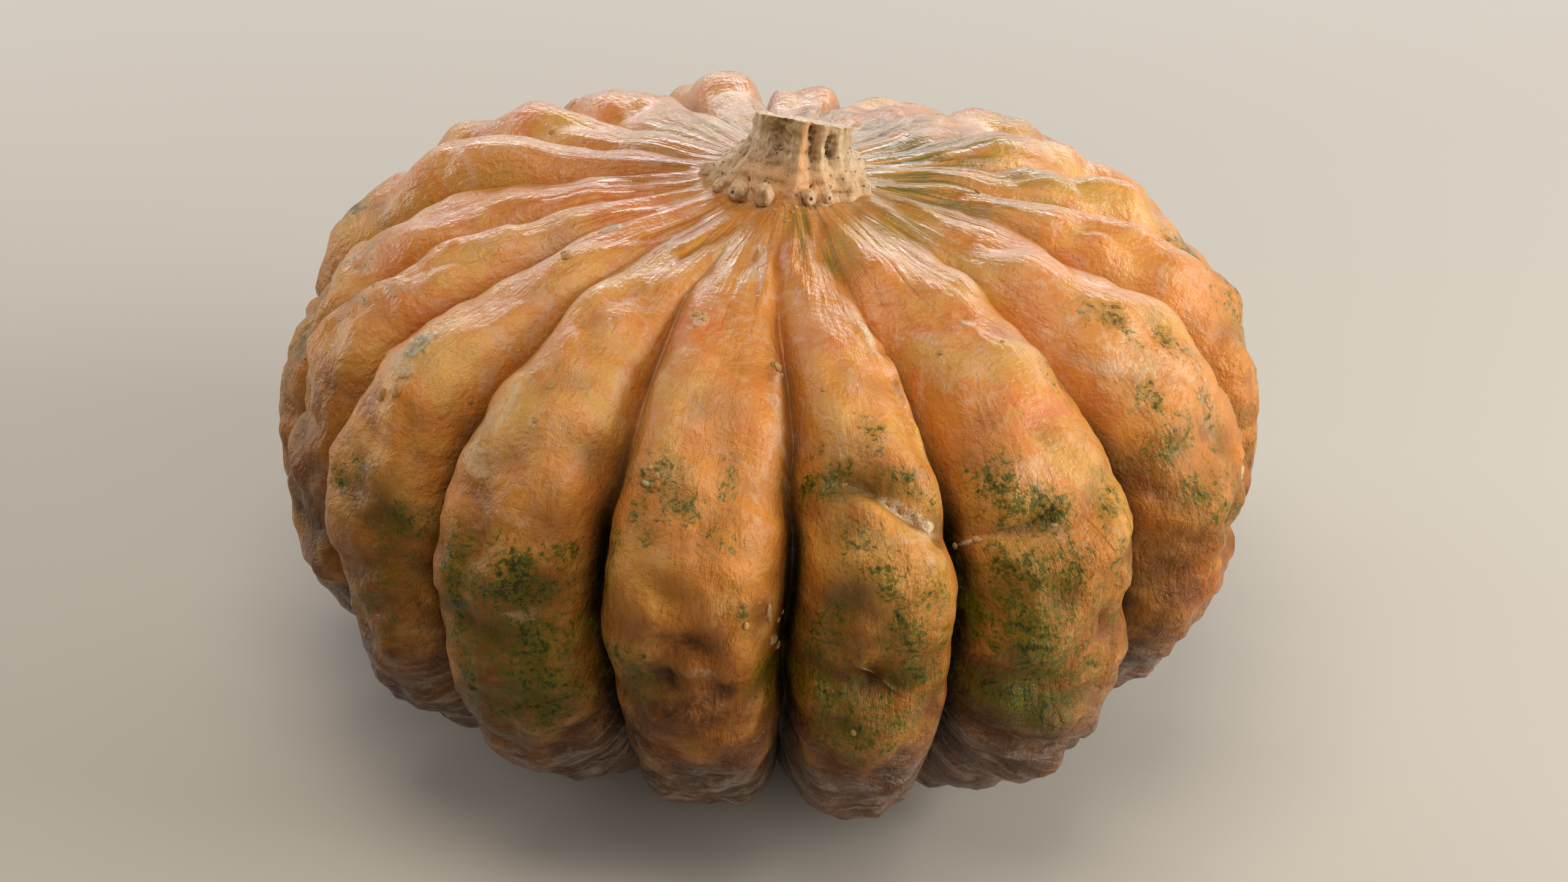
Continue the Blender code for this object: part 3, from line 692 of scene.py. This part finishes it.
def rindAt(rib, share, way):
    # Points of the rind: share is -1 to 1 across a rib. Also the direction, how corky and grey it is there, and
    # how deep its dents are for painted shade
    form = fruitForm
    left, right = grooveDirection(rib, way), grooveDirection(rib + 1, way)
    right = np.where(right < left, right + 360.0, right)
    direction = left + (right - left) * (share + 1.0) / 2.0
    radius, height = crestAt(way)
    radiusBefore, heightBefore = crestAt(way - 0.004)
    radiusAfter, heightAfter = crestAt(way + 0.004)
    slope = np.hypot(radiusAfter - radiusBefore, heightAfter - heightBefore)
    out, up = (heightBefore - heightAfter) / slope, (radiusAfter - radiusBefore) / slope
    turned = np.radians(direction)
    plain = np.stack([radius * np.sin(turned), -radius * np.cos(turned), height], -1)
    free = blendIn(way, 0.05, 0.16) * (1.0 - blendIn(way, 0.80, 0.93))
    strength = blendIn(way, 0.03, 0.40) * (1.0 - blendIn(way, 0.60, 0.93))

    # The same ribs, grooves, lumps and folds as the solid
    row = groovesAndRibs[rib]
    reach = form["swellingReach"]
    swelling = row[:, 3] * bell(way, form["shoulderWay"], reach) + row[:, 4] * bell(way, form["sideWay"], reach)
    swelling += row[:, 5] * bell(way, form["undersideWay"], reach)
    lift = 0.001 * swelling * (1.0 - share ** 2)
    lift -= form["grooveDepth"] * strength * np.abs(share) ** form["ribRoundness"]
    seed = Vector(form["lumpSeed"])
    lumps = np.zeros(np.shape(way))
    for index, (size, tall) in enumerate(form["lumps"]):
        offset = seed * (index + 1)
        lumps += tall * np.array([noise.noise(Vector(p) / size + offset) for p in plain])
    lift += free * (lumps + foldHeight(direction, way, foldsAndBumps))

    # Finer relief
    crevice = blendIn(way, 0.14, 0.36) * (1.0 - blendIn(way, 0.66, 0.90))
    lift -= form["creviceDepth"] * crevice * np.abs(share) ** form["creviceSharpness"]
    size, tall = form["knobs"]
    behind = blendIn(np.abs(turnBetween(direction, 0.0)), 35.0, 70.0)
    behind = form["knobsInFront"] + (1.0 - form["knobsInFront"]) * behind
    shoulder = blendIn(way, 0.12, 0.20) * (1.0 - 0.6 * blendIn(way, 0.42, 0.60))
    lift += free * tall * behind * shoulder * (1.0 - np.abs(share) ** 4) * lumpy(plain, size, 1)
    size, tall = form["creases"]
    lift += free * tall * (0.5 + 0.5 * blendIn(way, 0.30, 0.48)) * lumpy(plain, size, 2)
    rough = (0.45 + 0.55 * blendIn(way, 0.30, 0.46)) * (1.0 - 0.5 * np.abs(share) ** 6)
    small = np.zeros(np.shape(way))
    for index, (size, tall) in enumerate(form["smallLumps"]):
        small += tall * grain(plain, size, 3 + index)
    lift += free * rough * small
    fine = foldHeight(direction, way, fineFolds)
    lift += free * fine
    # How deep the dents are, which sets the painted shade in them
    dentShade = np.clip(-(small + fine) / 0.0030, 0.0, 1.0) * free
    lift += form["collarRise"] * (1.0 - blendIn(radius, 0.026, 0.038))
    at, halfWidth, tall, end = form["tongue"]
    across = np.radians(turnBetween(direction, at)) * (radius + 0.012)
    lift += tall * bell(across, 0.0, halfWidth) * (1.0 - blendIn(way, 0.045, end))
    for at, start, end, halfWidth, tall in flutes:
        across, down = acrossAndDown(direction, way, at + 3.0 * np.sin(way * 40.0 + at), 0.0)
        runOut = blendIn(way, start, start + 0.03) * (1.0 - blendIn(way, end - 0.06, end))
        lift += tall * bell(across, 0.0, halfWidth) * runOut
    cork, grey = np.zeros(np.shape(way)), np.zeros(np.shape(way))
    crumbs, broken = grain(plain, 0.0016, 9), grain(plain, 0.0060, 8)
    for path, halfWidth, tall, corky in skinLines:
        away, alongLine = distanceToLine(direction, way, path)
        middle = np.clip(4.0 * alongLine * (1.0 - alongLine) + 0.15, 0.0, 1.0)
        body = np.exp(-((away / halfWidth) ** 2)) * np.sqrt(middle)
        body *= np.clip(0.85 + 0.9 * broken, 0.1, 1.0)
        lift += tall * body * (1.0 + 0.6 * corky * crumbs)
        cork = np.maximum(cork, corky * body)
    for at, atWay, halfLength, halfWidth, turn, tall, corky, greyish in scabs:
        oval = ovalShare(direction, way, at, atWay, halfLength, halfWidth, turn)
        plate = 1.0 - blendIn(np.sqrt(oval) + 0.25 * crumbs, 0.85, 1.10)
        lift += tall * plate * (1.0 + 0.5 * crumbs)
        cork = np.maximum(cork, corky * plate)
        grey = np.maximum(grey, greyish * plate)

    radius = radius + out * lift
    height = np.maximum(height + up * lift, 0.0)
    aside = form["stemOffset"] * (1.0 - blendIn(radius, 0.0, form["offsetReach"])) * (way < 0.5)
    points = np.stack([radius * np.sin(turned) + aside, -radius * np.cos(turned), height], -1)
    return points - np.array(form["boxMiddle"]), direction, cork, grey, dentShade


def spherePlace(points):
    # Turns a place on the plain sphere into a rib, the share across it and the way down
    form = fruitForm
    turn = (np.arctan2(points[:, 0], -points[:, 1]) / (2 * pi)) % 1.0 * ribCount
    rib = np.minimum(turn.astype(int), ribCount - 1)
    even = 2.0 * (turn - rib) - 1.0
    share = form["crestShare"] * even + (1 - form["crestShare"]) * np.sin(even * pi / 2)
    polar = np.arccos(np.clip(points[:, 2] / np.linalg.norm(points, axis=1), -1.0, 1.0)) / pi
    way = polar + form["ringCrowding"] * np.sin(2 * pi * polar) / (2 * pi)
    return rib, share, way


def needsFinerMesh(direction, way):
    # Where a scab or a line is too small for the plain rings and meridians
    near = np.zeros(np.shape(way), bool)
    margin = fruitForm["refineMargin"]
    for path, halfWidth, tall, corky in skinLines:
        near |= distanceToLine(direction, way, path)[0] < 1.6 * halfWidth + margin
    for at, atWay, halfLength, halfWidth, turn, tall, corky, greyish in scabs:
        near |= ovalShare(direction, way, at, atWay, halfLength + margin, halfWidth + margin, turn) < 1.0
    return near


fruitFit = []


def fitInside(points, low, high):
    # For each side of the solid's box: where the rind starts to be pressed in, how far it reached past,
    # and over what length
    sides = []
    for axis in range(3):
        for sign, limit in ((-1.0, -low[axis]), (1.0, high[axis])):
            reach = (sign * points[:, axis]).max()
            over = max(reach - limit, 0.0)
            length = over + max(0.006, 1.5 * over)
            sides.append((axis, sign, reach - length, over, length))
    return sides


def applyFit(points):
    points = points.copy()
    for axis, sign, start, over, length in fruitFit:
        past = np.clip(sign * points[:, axis] - start, 0.0, length)
        points[:, axis] -= sign * over * (past / length) ** 2
    return points


def makeFruit():
    form = fruitForm
    deselectAll()
    segments = form["stepsPerRib"] * ribCount
    bpy.ops.mesh.primitive_uv_sphere_add(segments=segments, ring_count=form["rings"], radius=1.0)
    fruit = named("fruit_rind")
    mesh = fruit.data
    centres = np.empty(len(mesh.polygons) * 3)
    mesh.polygons.foreach_get("center", centres)
    rib, share, way = spherePlace(centres.reshape(-1, 3))
    left, right = grooveDirection(rib, way), grooveDirection(rib + 1, way)
    right = np.where(right < left, right + 360.0, right)
    chosen = needsFinerMesh(left + (right - left) * (share + 1.0) / 2.0, way)
    bpy.ops.object.mode_set(mode="EDIT")
    bpy.ops.mesh.select_mode(type="FACE")
    bpy.ops.mesh.select_all(action="DESELECT")
    bpy.ops.object.mode_set(mode="OBJECT")
    mesh.polygons.foreach_set("select", chosen)
    bpy.ops.object.mode_set(mode="EDIT")
    bpy.ops.mesh.subdivide(number_cuts=form["refineCuts"], quadcorner="INNERVERT")
    bpy.ops.object.mode_set(mode="OBJECT")
    print("fruit sphere:", len(mesh.polygons), "faces,", int(chosen.sum()), "places made finer")

    rib, share, way = spherePlace(readPoints(mesh))
    points, direction, cork, grey, dentShade = rindAt(rib, share, way)
    fruitFit.extend(fitInside(points, *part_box("fruit")))
    points = applyFit(points)
    writePoints(mesh, points)
    turned = np.radians(direction)
    around = fruitForm["crestRadius"]
    alongRib = [around * np.sin(turned), -around * np.cos(turned), way * crestLength]
    storeValues(mesh, "alongRib", np.stack(alongRib, -1))
    storeValues(mesh, "way", way)
    storeValues(mesh, "groove", np.abs(share) ** 7 * blendIn(way, 0.10, 0.22))
    storeValues(mesh, "dentShade", dentShade)
    fromStem = np.hypot(points[:, 0] - form["stemOffset"], points[:, 1])
    storeValues(mesh, "collar", 1.0 - blendIn(fromStem, 0.027, 0.040))
    storeValues(mesh, "cork", cork)
    storeValues(mesh, "grey", grey)
    for name, patches in [("green", greenPatches), ("pale", palePatches), ("blush", blushPatches),
                          ("brown", shadePatches), ("olive", olivePatches)]:
        storeValues(mesh, name, patchAmount(direction, way, patches))
    deselectAll()
    fruit.select_set(True)
    bpy.ops.object.shade_smooth()
    mesh.materials.append(rindMaterial)
    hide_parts("fruit")
    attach(fruit, "root")
    print("pressed in by (mm):", [round(1000 * side[3], 1) for side in fruitFit])
    print("fruit rind:", sum(len(p.vertices) - 2 for p in mesh.polygons), "triangles")
    return fruit


fruit = makeFruit()


# Warts and knots on the rind, modelled once and copied

wartForm = {
    "roundness": 3, "sunk": 0.35,
    # direction, way, half width, height, stretch down the rib
    "warts": [
        (-51.5, .36, .0022, .0015, 1.3), (-49.0, .352, .0021, .0015, 1.1), (-51.0, .193, .0018, .0012, 1.0),
        (-49.5, .195, .002, .0013, 1.1), (-30.0, .3, .0016, .001, 1.0), (-29.5, .328, .0011, .0007, 1.0),
        (-43.0, .326, .0011, .0007, 1.0), (-30.5, .285, .001, .0007, 2.0), (-13.6, .341, .001, .0008, 1.0),
        (-12.6, .346, .0013, .0009, 1.0), (-12.3, .352, .0009, .0008, 1.4), (0.8, .437, .0011, .0009, 1.8),
        (0.9, .447, .0014, .0011, 1.4), (-1.5, .445, .0013, .001, 1.2), (-0.3, .43, .0007, .0006, 1.0),
        (1.9, .458, .001, .0008, 1.0), (2.4, .456, .0008, .0007, 1.0), (1.2, .471, .0013, .001, 1.0),
        (1.6, .477, .0014, .0011, 1.2), (2.0, .491, .0015, .0012, 1.9), (14.3, .361, .0013, .0011, 1.0),
        (15.8, .367, .0017, .0014, 1.0), (9.6, .343, .0012, .0009, 1.0), (24.2, .407, .0012, .001, 1.0),
        (25.4, .4, .0013, .001, 1.0), (33.4, .402, .0012, .0008, 1.0), (1.6, .246, .0022, .0018, 1.0),
        (2.2, .25, .0014, .0012, 1.0), (0.9, .243, .0013, .001, 1.0), (-14.5, .208, .0016, .0012, 1.0),
        (-13.2, .206, .0013, .001, 1.0), (-12.6, .212, .0012, .0009, 1.0), (29.0, .25, .0011, .0008, 1.0),
        (38.0, .265, .0009, .0006, 1.0), (8.0, .275, .001, .0007, 1.0), (10.0, .54, .0012, .0009, 1.0),
        (61.0, .372, .0013, .001, 1.0), (62.3, .379, .0011, .0009, 1.0), (0.5, .08, .0012, .0009, 1.0),
        (-3.0, .072, .001, .0008, 1.0), (3.5, .068, .001, .0008, 1.0), (-8.0, .066, .001, .0008, 1.0),
        (-1.5, .06, .001, .0008, 1.0), (6.0, .06, .0009, .0007, 1.0), (88.0, .15, .0016, .0011, 1.0),
    ],
    "hiddenSide": 14, "flatness": 0.62,
}


def placeOnFruit(direction, way):
    # The point of the rind at a direction and a way, and the outward direction there
    spots = []
    for d, w in ((direction, way), (direction + 0.5, way), (direction, way + 0.003)):
        ways = np.full(ribCount, w)
        lefts = grooveDirection(np.arange(ribCount), ways)
        turns = (d - lefts) % 360.0
        rib = int(np.argmin(turns))
        wide = (lefts[(rib + 1) % ribCount] - lefts[rib]) % 360.0
        share = 2.0 * turns[rib] / wide - 1.0
        spots.append(Vector(applyFit(rindAt(np.array([rib]), np.array([share]), np.array([w]))[0])[0]))
    outward = (spots[2] - spots[0]).cross(spots[1] - spots[0]).normalized()
    return spots[0], outward, (spots[2] - spots[0]).normalized()


def makeWarts():
    form = wartForm
    deselectAll()
    bpy.ops.mesh.primitive_ico_sphere_add(subdivisions=form["roundness"], radius=1.0)
    master = named("wart")
    bpy.ops.object.mode_set(mode="EDIT")
    bpy.ops.mesh.select_all(action="SELECT")
    bpy.ops.mesh.bisect(plane_co=(0, 0, -form["sunk"]), plane_no=(0, 0, 1), clear_inner=True, use_fill=True)
    bpy.ops.object.mode_set(mode="OBJECT")
    random.seed(5)
    spots = list(form["warts"])
    for count in range(form["hiddenSide"]):
        size = random.uniform(0.0009, 0.0018)
        direction, way = random.uniform(110.0, 250.0), random.uniform(0.20, 0.55)
        spots.append((direction, way, size, size * 0.7, random.uniform(1.0, 1.4)))
    copies = []
    for index, (direction, way, halfWidth, tall, stretch) in enumerate(spots):
        place, outward, down = placeOnFruit(direction, way)
        side = outward.cross(down).normalized()
        turn = Matrix((side, outward.cross(side), outward)).transposed().to_4x4()
        mesh = master.data.copy()
        points = readPoints(mesh)
        points *= (1.0 + 0.25 * grain(points, 0.9, index))[:, None]
        mesh.vertices.foreach_set("co", points.ravel())
        size = Matrix.Diagonal((halfWidth, halfWidth * stretch, tall * form["flatness"], 1.0))
        mesh.transform(Matrix.Translation(place) @ turn @ size)
        copies.append(copyOf(mesh, "wart_copy"))
    bpy.data.objects.remove(master)
    warts = joined(copies, "rind_warts", wartMaterial)
    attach(warts, "root")
    print("warts:", len(spots), "on the rind")


makeWarts()


# The stem: a disc drawn up ring by ring, inset on the cut, then shaped into ridges, toes and hollows

stemForm = {
    # height over the fruit's top and radius, from the sunk foot to the cut
    "outline": [(-0.009, 0.0268), (-0.004, 0.0268), (0.0000, 0.0254), (0.003, 0.0226),
                (0.0062, 0.0198), (0.01, 0.018), (0.0145, 0.0171), (0.0193, 0.0168)],
    "lean": 0.0045, "cutFallBack": 0.38, "cutFallRight": 0.15, "cutHollow": 0.0012,
    # direction, half width in degrees, and how far it stands out at the foot and at the cut
    "ridges": [(-150, 14, 0.0045, 0.0014), (-114, 11, 0.005, 0.0014), (-86, 10, 0.0062, 0.0012),
               (-60, 9, 0.0052, 0.0012), (-40, 8, 0.0036, 0.0000), (-19, 8, 0.0022, 0.0000),
               (0, 9, 0.0046, 0.0022), (26, 8, 0.003, 0.0014), (50, 9, 0.0038, 0.0014),
               (66, 8, 0.006, 0.0008), (97, 11, 0.001, 0.0018), (128, 14, 0.003, 0.0014),
               (170, 14, 0.0045, 0.0014)],
    # The foot draws in at the front, where the rind's tongue meets it: direction, half width, how far
    "frontFoot": (-6, 62, 0.0014),
    # Knobs and toes: direction, height over the fruit's top, half width, half height, how far out
    "knobs": [(-60, 0.001, 0.003, 0.003, 0.0014), (-90, 0.001, 0.0034, 0.0026, 0.0016),
              (48, 0.0004, 0.0024, 0.0024, 0.0014), (66, 0.0000, 0.0024, 0.0022, 0.0016),
              (110, 0.0008, 0.0034, 0.0026, 0.002), (140, 0.0006, 0.0034, 0.003, 0.002),
              (-130, 0.0006, 0.0034, 0.0026, 0.002), (-165, 0.0008, 0.0034, 0.0028, 0.002)],
    # Round knobs that sit in the angle at the foot: direction, distance from the axis, height over the
    # fruit's top, half sizes across, outwards and up
    "footKnobs": [(-43, 0.0278, -0.0006, 0.004, 0.0038, 0.0036), (-19.5, 0.028, 0.0008, 0.0036, 0.0034, 0.0044),
                  (15, 0.0272, 0.0004, 0.003, 0.003, 0.003), (30, 0.0266, -0.001, 0.0024, 0.0028, 0.003),
                  (-64, 0.0286, -0.0026, 0.003, 0.0034, 0.0024), (-96, 0.03, -0.003, 0.0036, 0.005, 0.0026),
                  (118, 0.027, -0.0016, 0.0034, 0.0032, 0.0028), (-140, 0.0272, -0.0014, 0.0036, 0.0032, 0.003)],
    # Hollows: direction, height, half width, half height, depth
    "hollows": [(10, 0.0165, 0.0011, 0.0034, 0.0022), (13, 0.012, 0.0015, 0.005, 0.0018),
                (17, 0.0085, 0.0016, 0.002, 0.0022), (37, 0.012, 0.002, 0.0034, 0.003),
                (42, 0.0092, 0.0016, 0.0018, 0.003), (34, 0.0105, 0.0008, 0.001, 0.0022),
                (-29, 0.013, 0.005, 0.008, 0.0014), (-45, 0.0012, 0.0008, 0.0008, 0.003),
                (34, 0.0142, 0.0007, 0.0008, 0.0018), (40, 0.0152, 0.0008, 0.0008, 0.002),
                (45, 0.0125, 0.0007, 0.001, 0.0018), (38, 0.0068, 0.0008, 0.0006, 0.0018),
                (20, 0.0078, 0.0007, 0.0007, 0.0018), (7, 0.0098, 0.0006, 0.0008, 0.0016),
                (16, 0.0156, 0.0007, 0.001, 0.0018), (-66, 0.008, 0.0007, 0.0012, 0.0016),
                (-100, 0.01, 0.001, 0.002, 0.002), (15, 0.0016, 0.0007, 0.0006, 0.0022),
                (31, -0.0006, 0.0016, 0.0007, 0.003),
                (70, 0.005, 0.0012, 0.0024, 0.0016), (-75, 0.005, 0.002, 0.004, 0.0016),
                (112, 0.011, 0.0022, 0.006, 0.002), (-132, 0.011, 0.0026, 0.006, 0.002),
                (150, 0.01, 0.0024, 0.006, 0.002)],
    "steps": 240, "rings": 60, "cutRings": 16,
    "bumps": 130, "bumpSize": (0.0003, 0.00058), "bumpLow": -0.0005, "bumpHigh": 0.011,
}


def stemAt(turned, share, reach):
    # A point of the stem: turned in radians, share up its height, reach from its axis to its side
    form = stemForm
    outline = form["outline"]
    bottom, top = outline[0][0], outline[-1][0]
    height = bottom + (top - bottom) * share
    radius = np.full(np.shape(height), outline[-1][1])
    for (low, lowRadius), (high, highRadius) in reversed(list(zip(outline, outline[1:]))):
        between = lowRadius + (highRadius - lowRadius) * blendIn(height, low, high)
        radius = np.where(height <= high, between, radius)
    for at, halfWidth, atFoot, atCut in form["ridges"]:
        amount = atFoot + (atCut - atFoot) * blendIn(share, 0.0, 0.75)
        radius = radius + amount * bell(turnBetween(np.degrees(turned), at), 0.0, halfWidth)
    pit, dent = np.zeros(np.shape(height)), np.zeros(np.shape(height))
    for at, level, halfWidth, halfHeight, depth in form["hollows"]:
        across = np.radians(turnBetween(np.degrees(turned), at)) * radius
        amount = np.exp(-((across / halfWidth) ** 2) - ((height - level) / halfHeight) ** 2)
        dent += depth * amount
        pit = np.maximum(pit, amount * min(depth / 0.0030, 1.0))
    knob = np.zeros(np.shape(height))
    for at, level, halfWidth, halfHeight, out in form["knobs"]:
        across = np.radians(turnBetween(np.degrees(turned), at)) * radius
        knob += out * np.exp(-(((across / halfWidth) ** 2 + ((height - level) / halfHeight) ** 2) ** 1.5))
    front = bell(turnBetween(np.degrees(turned), form["frontFoot"][0]), 0.0, form["frontFoot"][1])
    radius = radius - form["frontFoot"][2] * front * (1.0 - blendIn(height, -0.0005, 0.0065))
    slant = blendIn(share, 0.25, 1.0)
    y, x = -np.cos(turned) * reach, np.sin(turned) * reach
    lifted = height - slant * radius * (form["cutFallBack"] * y + form["cutFallRight"] * x)
    lifted -= form["cutHollow"] * (share > 0.999) * (1.0 - blendIn(reach, 0.55, 0.92))
    spread = (radius + (knob - dent)) * reach
    aside = fruitForm["stemOffset"] + form["lean"] * share
    middle = np.array(fruitForm["boxMiddle"])
    points = [spread * np.sin(turned) + aside, -spread * np.cos(turned), fruitTop + lifted]
    points = np.stack(points, -1) - middle
    return points, height, pit, knob


def makeStem():
    form = stemForm
    bottom, top = form["outline"][0][0], form["outline"][-1][0]
    start = form["outline"][0][1]
    deselectAll()
    bpy.ops.mesh.primitive_circle_add(vertices=form["steps"], radius=start, fill_type="NGON")
    stem = named("cut_stem")
    bpy.ops.object.mode_set(mode="EDIT")
    bpy.ops.mesh.select_mode(type="FACE")
    bpy.ops.mesh.select_all(action="SELECT")
    rise = (top - bottom) / form["rings"]
    for ring in range(form["rings"]):
        bpy.ops.mesh.extrude_region_move(TRANSFORM_OT_translate={"value": (0, 0, rise)})
    for ring in range(form["cutRings"]):
        bpy.ops.mesh.inset(thickness=start / (form["cutRings"] + 1), use_even_offset=False)
    bpy.ops.mesh.poke()
    bpy.ops.mesh.select_all(action="SELECT")
    bpy.ops.mesh.normals_make_consistent(inside=False)
    bpy.ops.object.mode_set(mode="OBJECT")
    mesh = stem.data
    plain = readPoints(mesh)
    turned = np.arctan2(plain[:, 0], -plain[:, 1])
    share = np.clip(plain[:, 2] / (top - bottom), 0.0, 1.0)
    reach = np.clip(np.hypot(plain[:, 0], plain[:, 1]) / start, 0.0, 1.0)
    points, height, pit, knob = stemAt(turned, share, reach)
    onCut = (share > 0.999) * (1.0 - blendIn(reach, 0.93, 1.0))
    free = blendIn(reach, 0.6, 1.0) * (1.0 - 0.7 * (share > 0.999))
    fine = 0.00060 * grain(points, 0.0040, 11) + 0.00030 * grain(points, 0.0016, 12)
    ragged = 0.0034 * pit * grain(points, 0.0016, 13)
    shift = (fine + ragged) * free
    points[:, 0] += shift * np.sin(turned)
    points[:, 1] -= shift * np.cos(turned)
    rimBreak = 0.0006 * grain(points, 0.0045, 14) + 0.0003 * grain(points, 0.0015, 15)
    points[:, 2] += (share > 0.999) * rimBreak
    low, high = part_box("stem")
    points[:, 2] = np.minimum(points[:, 2], high[2])
    writePoints(mesh, points)
    storeValues(mesh, "pit", pit * (0.7 + 0.5 * grain(points, 0.0022, 16)))
    storeValues(mesh, "cut", onCut)
    angle = np.degrees(turned)
    footGlow = (1.0 - blendIn(height, 0.001, 0.012)) * 0.8 * bell(turnBetween(angle, -8.0), 0.0, 60.0)
    fluteGlow = 0.7 * bell(turnBetween(angle, 6.0), 0.0, 8.0) * blendIn(height, 0.0, 0.004)
    storeValues(mesh, "foot", np.maximum(footGlow, fluteGlow))
    storeValues(mesh, "stain", bell(turnBetween(angle, -32.0), 0.0, 26.0) * blendIn(height, 0.0120, 0.0165))
    # Painted shade in the valleys between the ridges, above the foot and off the cut
    valleyShade = sum(
        deep * bell(turnBetween(angle, at), 0.0, wide)
        for at, wide, deep in [(-29, 11, 0.8), (13, 5, 0.6), (38, 6, 0.7), (-74, 5, 0.5), (62, 4, 0.4),
                               (80, 6, 0.5),
                               (112, 8, 0.6), (147, 8, 0.6), (-170, 8, 0.6), (-132, 8, 0.6), (-100, 6, 0.5)]
    )
    storeValues(mesh, "valleyShade", np.clip(valleyShade, 0.0, 1.0) * blendIn(height, 0.003, 0.009) * (1 - onCut))
    deselectAll()
    stem.select_set(True)
    bpy.ops.object.shade_smooth()
    mesh.materials.append(stemMaterial)
    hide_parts("stem")
    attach(stem, "root")
    print("stem:", sum(len(p.vertices) - 2 for p in mesh.polygons), "triangles")


def makeStemBumps():
    # Little pale bumps with dark tips on the lower half
    form = stemForm
    bottom, top = form["outline"][0][0], form["outline"][-1][0]
    deselectAll()
    bpy.ops.mesh.primitive_ico_sphere_add(subdivisions=2, radius=1.0)
    master = named("bump")
    random.seed(3)
    copies = []
    for index in range(form["bumps"]):
        angle = radians(random.uniform(-180.0, 180.0))
        level = form["bumpLow"] + (form["bumpHigh"] - form["bumpLow"]) * random.random() ** 1.5
        share = (level - bottom) / (top - bottom)
        size = random.uniform(*form["bumpSize"])
        trio = [(angle, share), (angle + 0.03, share), (angle, share + 0.02)]
        spots = [Vector(stemAt(np.array([a]), np.array([s]), np.array([1.0]))[0][0]) for a, s in trio]
        outward = (spots[1] - spots[0]).cross(spots[2] - spots[0]).normalized()
        mesh = master.data.copy()
        points = readPoints(mesh)
        storeValues(mesh, "pit", np.clip((points[:, 2] - 0.72) * 5.0, 0.0, 1.0))
        turn = outward.to_track_quat("Z", "Y").to_matrix().to_4x4()
        shape = Matrix.Diagonal((size, size * random.uniform(0.8, 1.3), size * 0.8, 1.0))
        mesh.transform(Matrix.Translation(spots[0]) @ turn @ shape)
        copies.append(copyOf(mesh, "bump_copy"))
    bpy.data.objects.remove(master)
    bumps = joined(copies, "stem_bumps", stemMaterial)
    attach(bumps, "root")
    print("stem bumps:", form["bumps"])


def makeFootKnobs():
    middle = np.array(fruitForm["boxMiddle"])
    deselectAll()
    copies = []
    for index, (angle, away, level, across, outwards, upwards) in enumerate(stemForm["footKnobs"]):
        bpy.ops.mesh.primitive_ico_sphere_add(subdivisions=4, radius=1.0)
        knob = named("knob")
        points = readPoints(knob.data)
        swell = 1.0 + 0.26 * grain(points, 0.9, 20 + index) + 0.10 * grain(points, 0.35, 40 + index)
        turned = radians(angle)
        outward = np.array([sin(turned), -cos(turned), -0.18])
        tip = np.exp(-((np.linalg.norm(points - np.array([0.0, 0.85, 0.25]), axis=1) / 0.26) ** 2))
        storeValues(knob.data, "pit", np.clip(1.3 * tip * (index % 3 != 1), 0.0, 1.0))
        storeValues(knob.data, "foot", np.full(len(points), 0.25))
        points = points * (swell - 0.16 * tip)[:, None] * np.array([across, outwards, upwards])
        sideways = np.array([cos(turned), sin(turned), 0.0])
        place = np.array([fruitForm["stemOffset"] + away * sin(turned), -away * cos(turned), fruitTop + level])
        place = place - middle
        upward = np.array([0.0, 0.0, 1.0])
        points = place + points[:, :1] * sideways + points[:, 1:2] * outward + points[:, 2:] * upward
        writePoints(knob.data, points)
        copies.append(knob)
    knobs = joined(copies, "stem_knobs", stemMaterial)
    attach(knobs, "root")
    print("stem knobs:", len(copies))


makeStem()
makeStemBumps()
makeFootKnobs()


# A plain pale floor and soft studio light

studio = {
    "floorSize": 7.0, "floorColour": "C2BDB4", "skyColour": "E2DED6", "skyStrength": 0.11,
    # place, aim, width, height, watts, colour
    "lights": {
        "back light": ((0.12, 1.35, 0.50), (0.0, 0.0, 0.20), 2.4, 0.26, 12.8, "FFFFFF"),
        "right softbox": ((1.30, -0.25, 0.55), (0.05, 0.0, 0.10), 0.80, 0.95, 20.5, "FFFBF4"),
        "left rim": ((-1.25, 0.55, 0.40), (-0.1, 0.0, 0.14), 0.50, 0.80, 6.5, "FFFCF8"),
        "top softbox": ((-0.10, -0.25, 1.40), (0.0, 0.0, 0.15), 0.9, 0.7, 8.6, "FFF4E4"),
        "front fill": ((0.25, -1.45, 0.85), (0.0, 0.0, 0.14), 1.1, 0.6, 3.6, "FFF2E2"),
    },
}


def makeStudio():
    deselectAll()
    bpy.ops.mesh.primitive_plane_add(size=studio["floorSize"], location=(0, 0, 0))
    floor = named("floor")
    floor.data.materials.append(Shader("pale floor", studio, "floorColour").finish([("Roughness", 0.7)]))
    for name, (place, aim, width, tall, watts, tint) in studio["lights"].items():
        data = bpy.data.lights.new(name, "AREA")
        data.shape = "RECTANGLE"
        data.size, data.size_y = width, tall
        data.energy = watts
        data.color = hexColour(tint)[:3]
        light = bpy.data.objects.new(name, data)
        bpy.context.scene.collection.objects.link(light)
        light.location = place
        light.rotation_mode = "QUATERNION"
        light.rotation_quaternion = (Vector(aim) - Vector(place)).to_track_quat("-Z", "Y")
    world = bpy.data.worlds.new("studio")
    world.use_nodes = True
    background = world.node_tree.nodes["Background"]
    background.inputs["Color"].default_value = hexColour(studio["skyColour"])
    background.inputs["Strength"].default_value = studio["skyStrength"]
    bpy.context.scene.world = world
    bpy.context.scene.view_settings.view_transform = "Standard"


makeStudio()
print("studio lit")
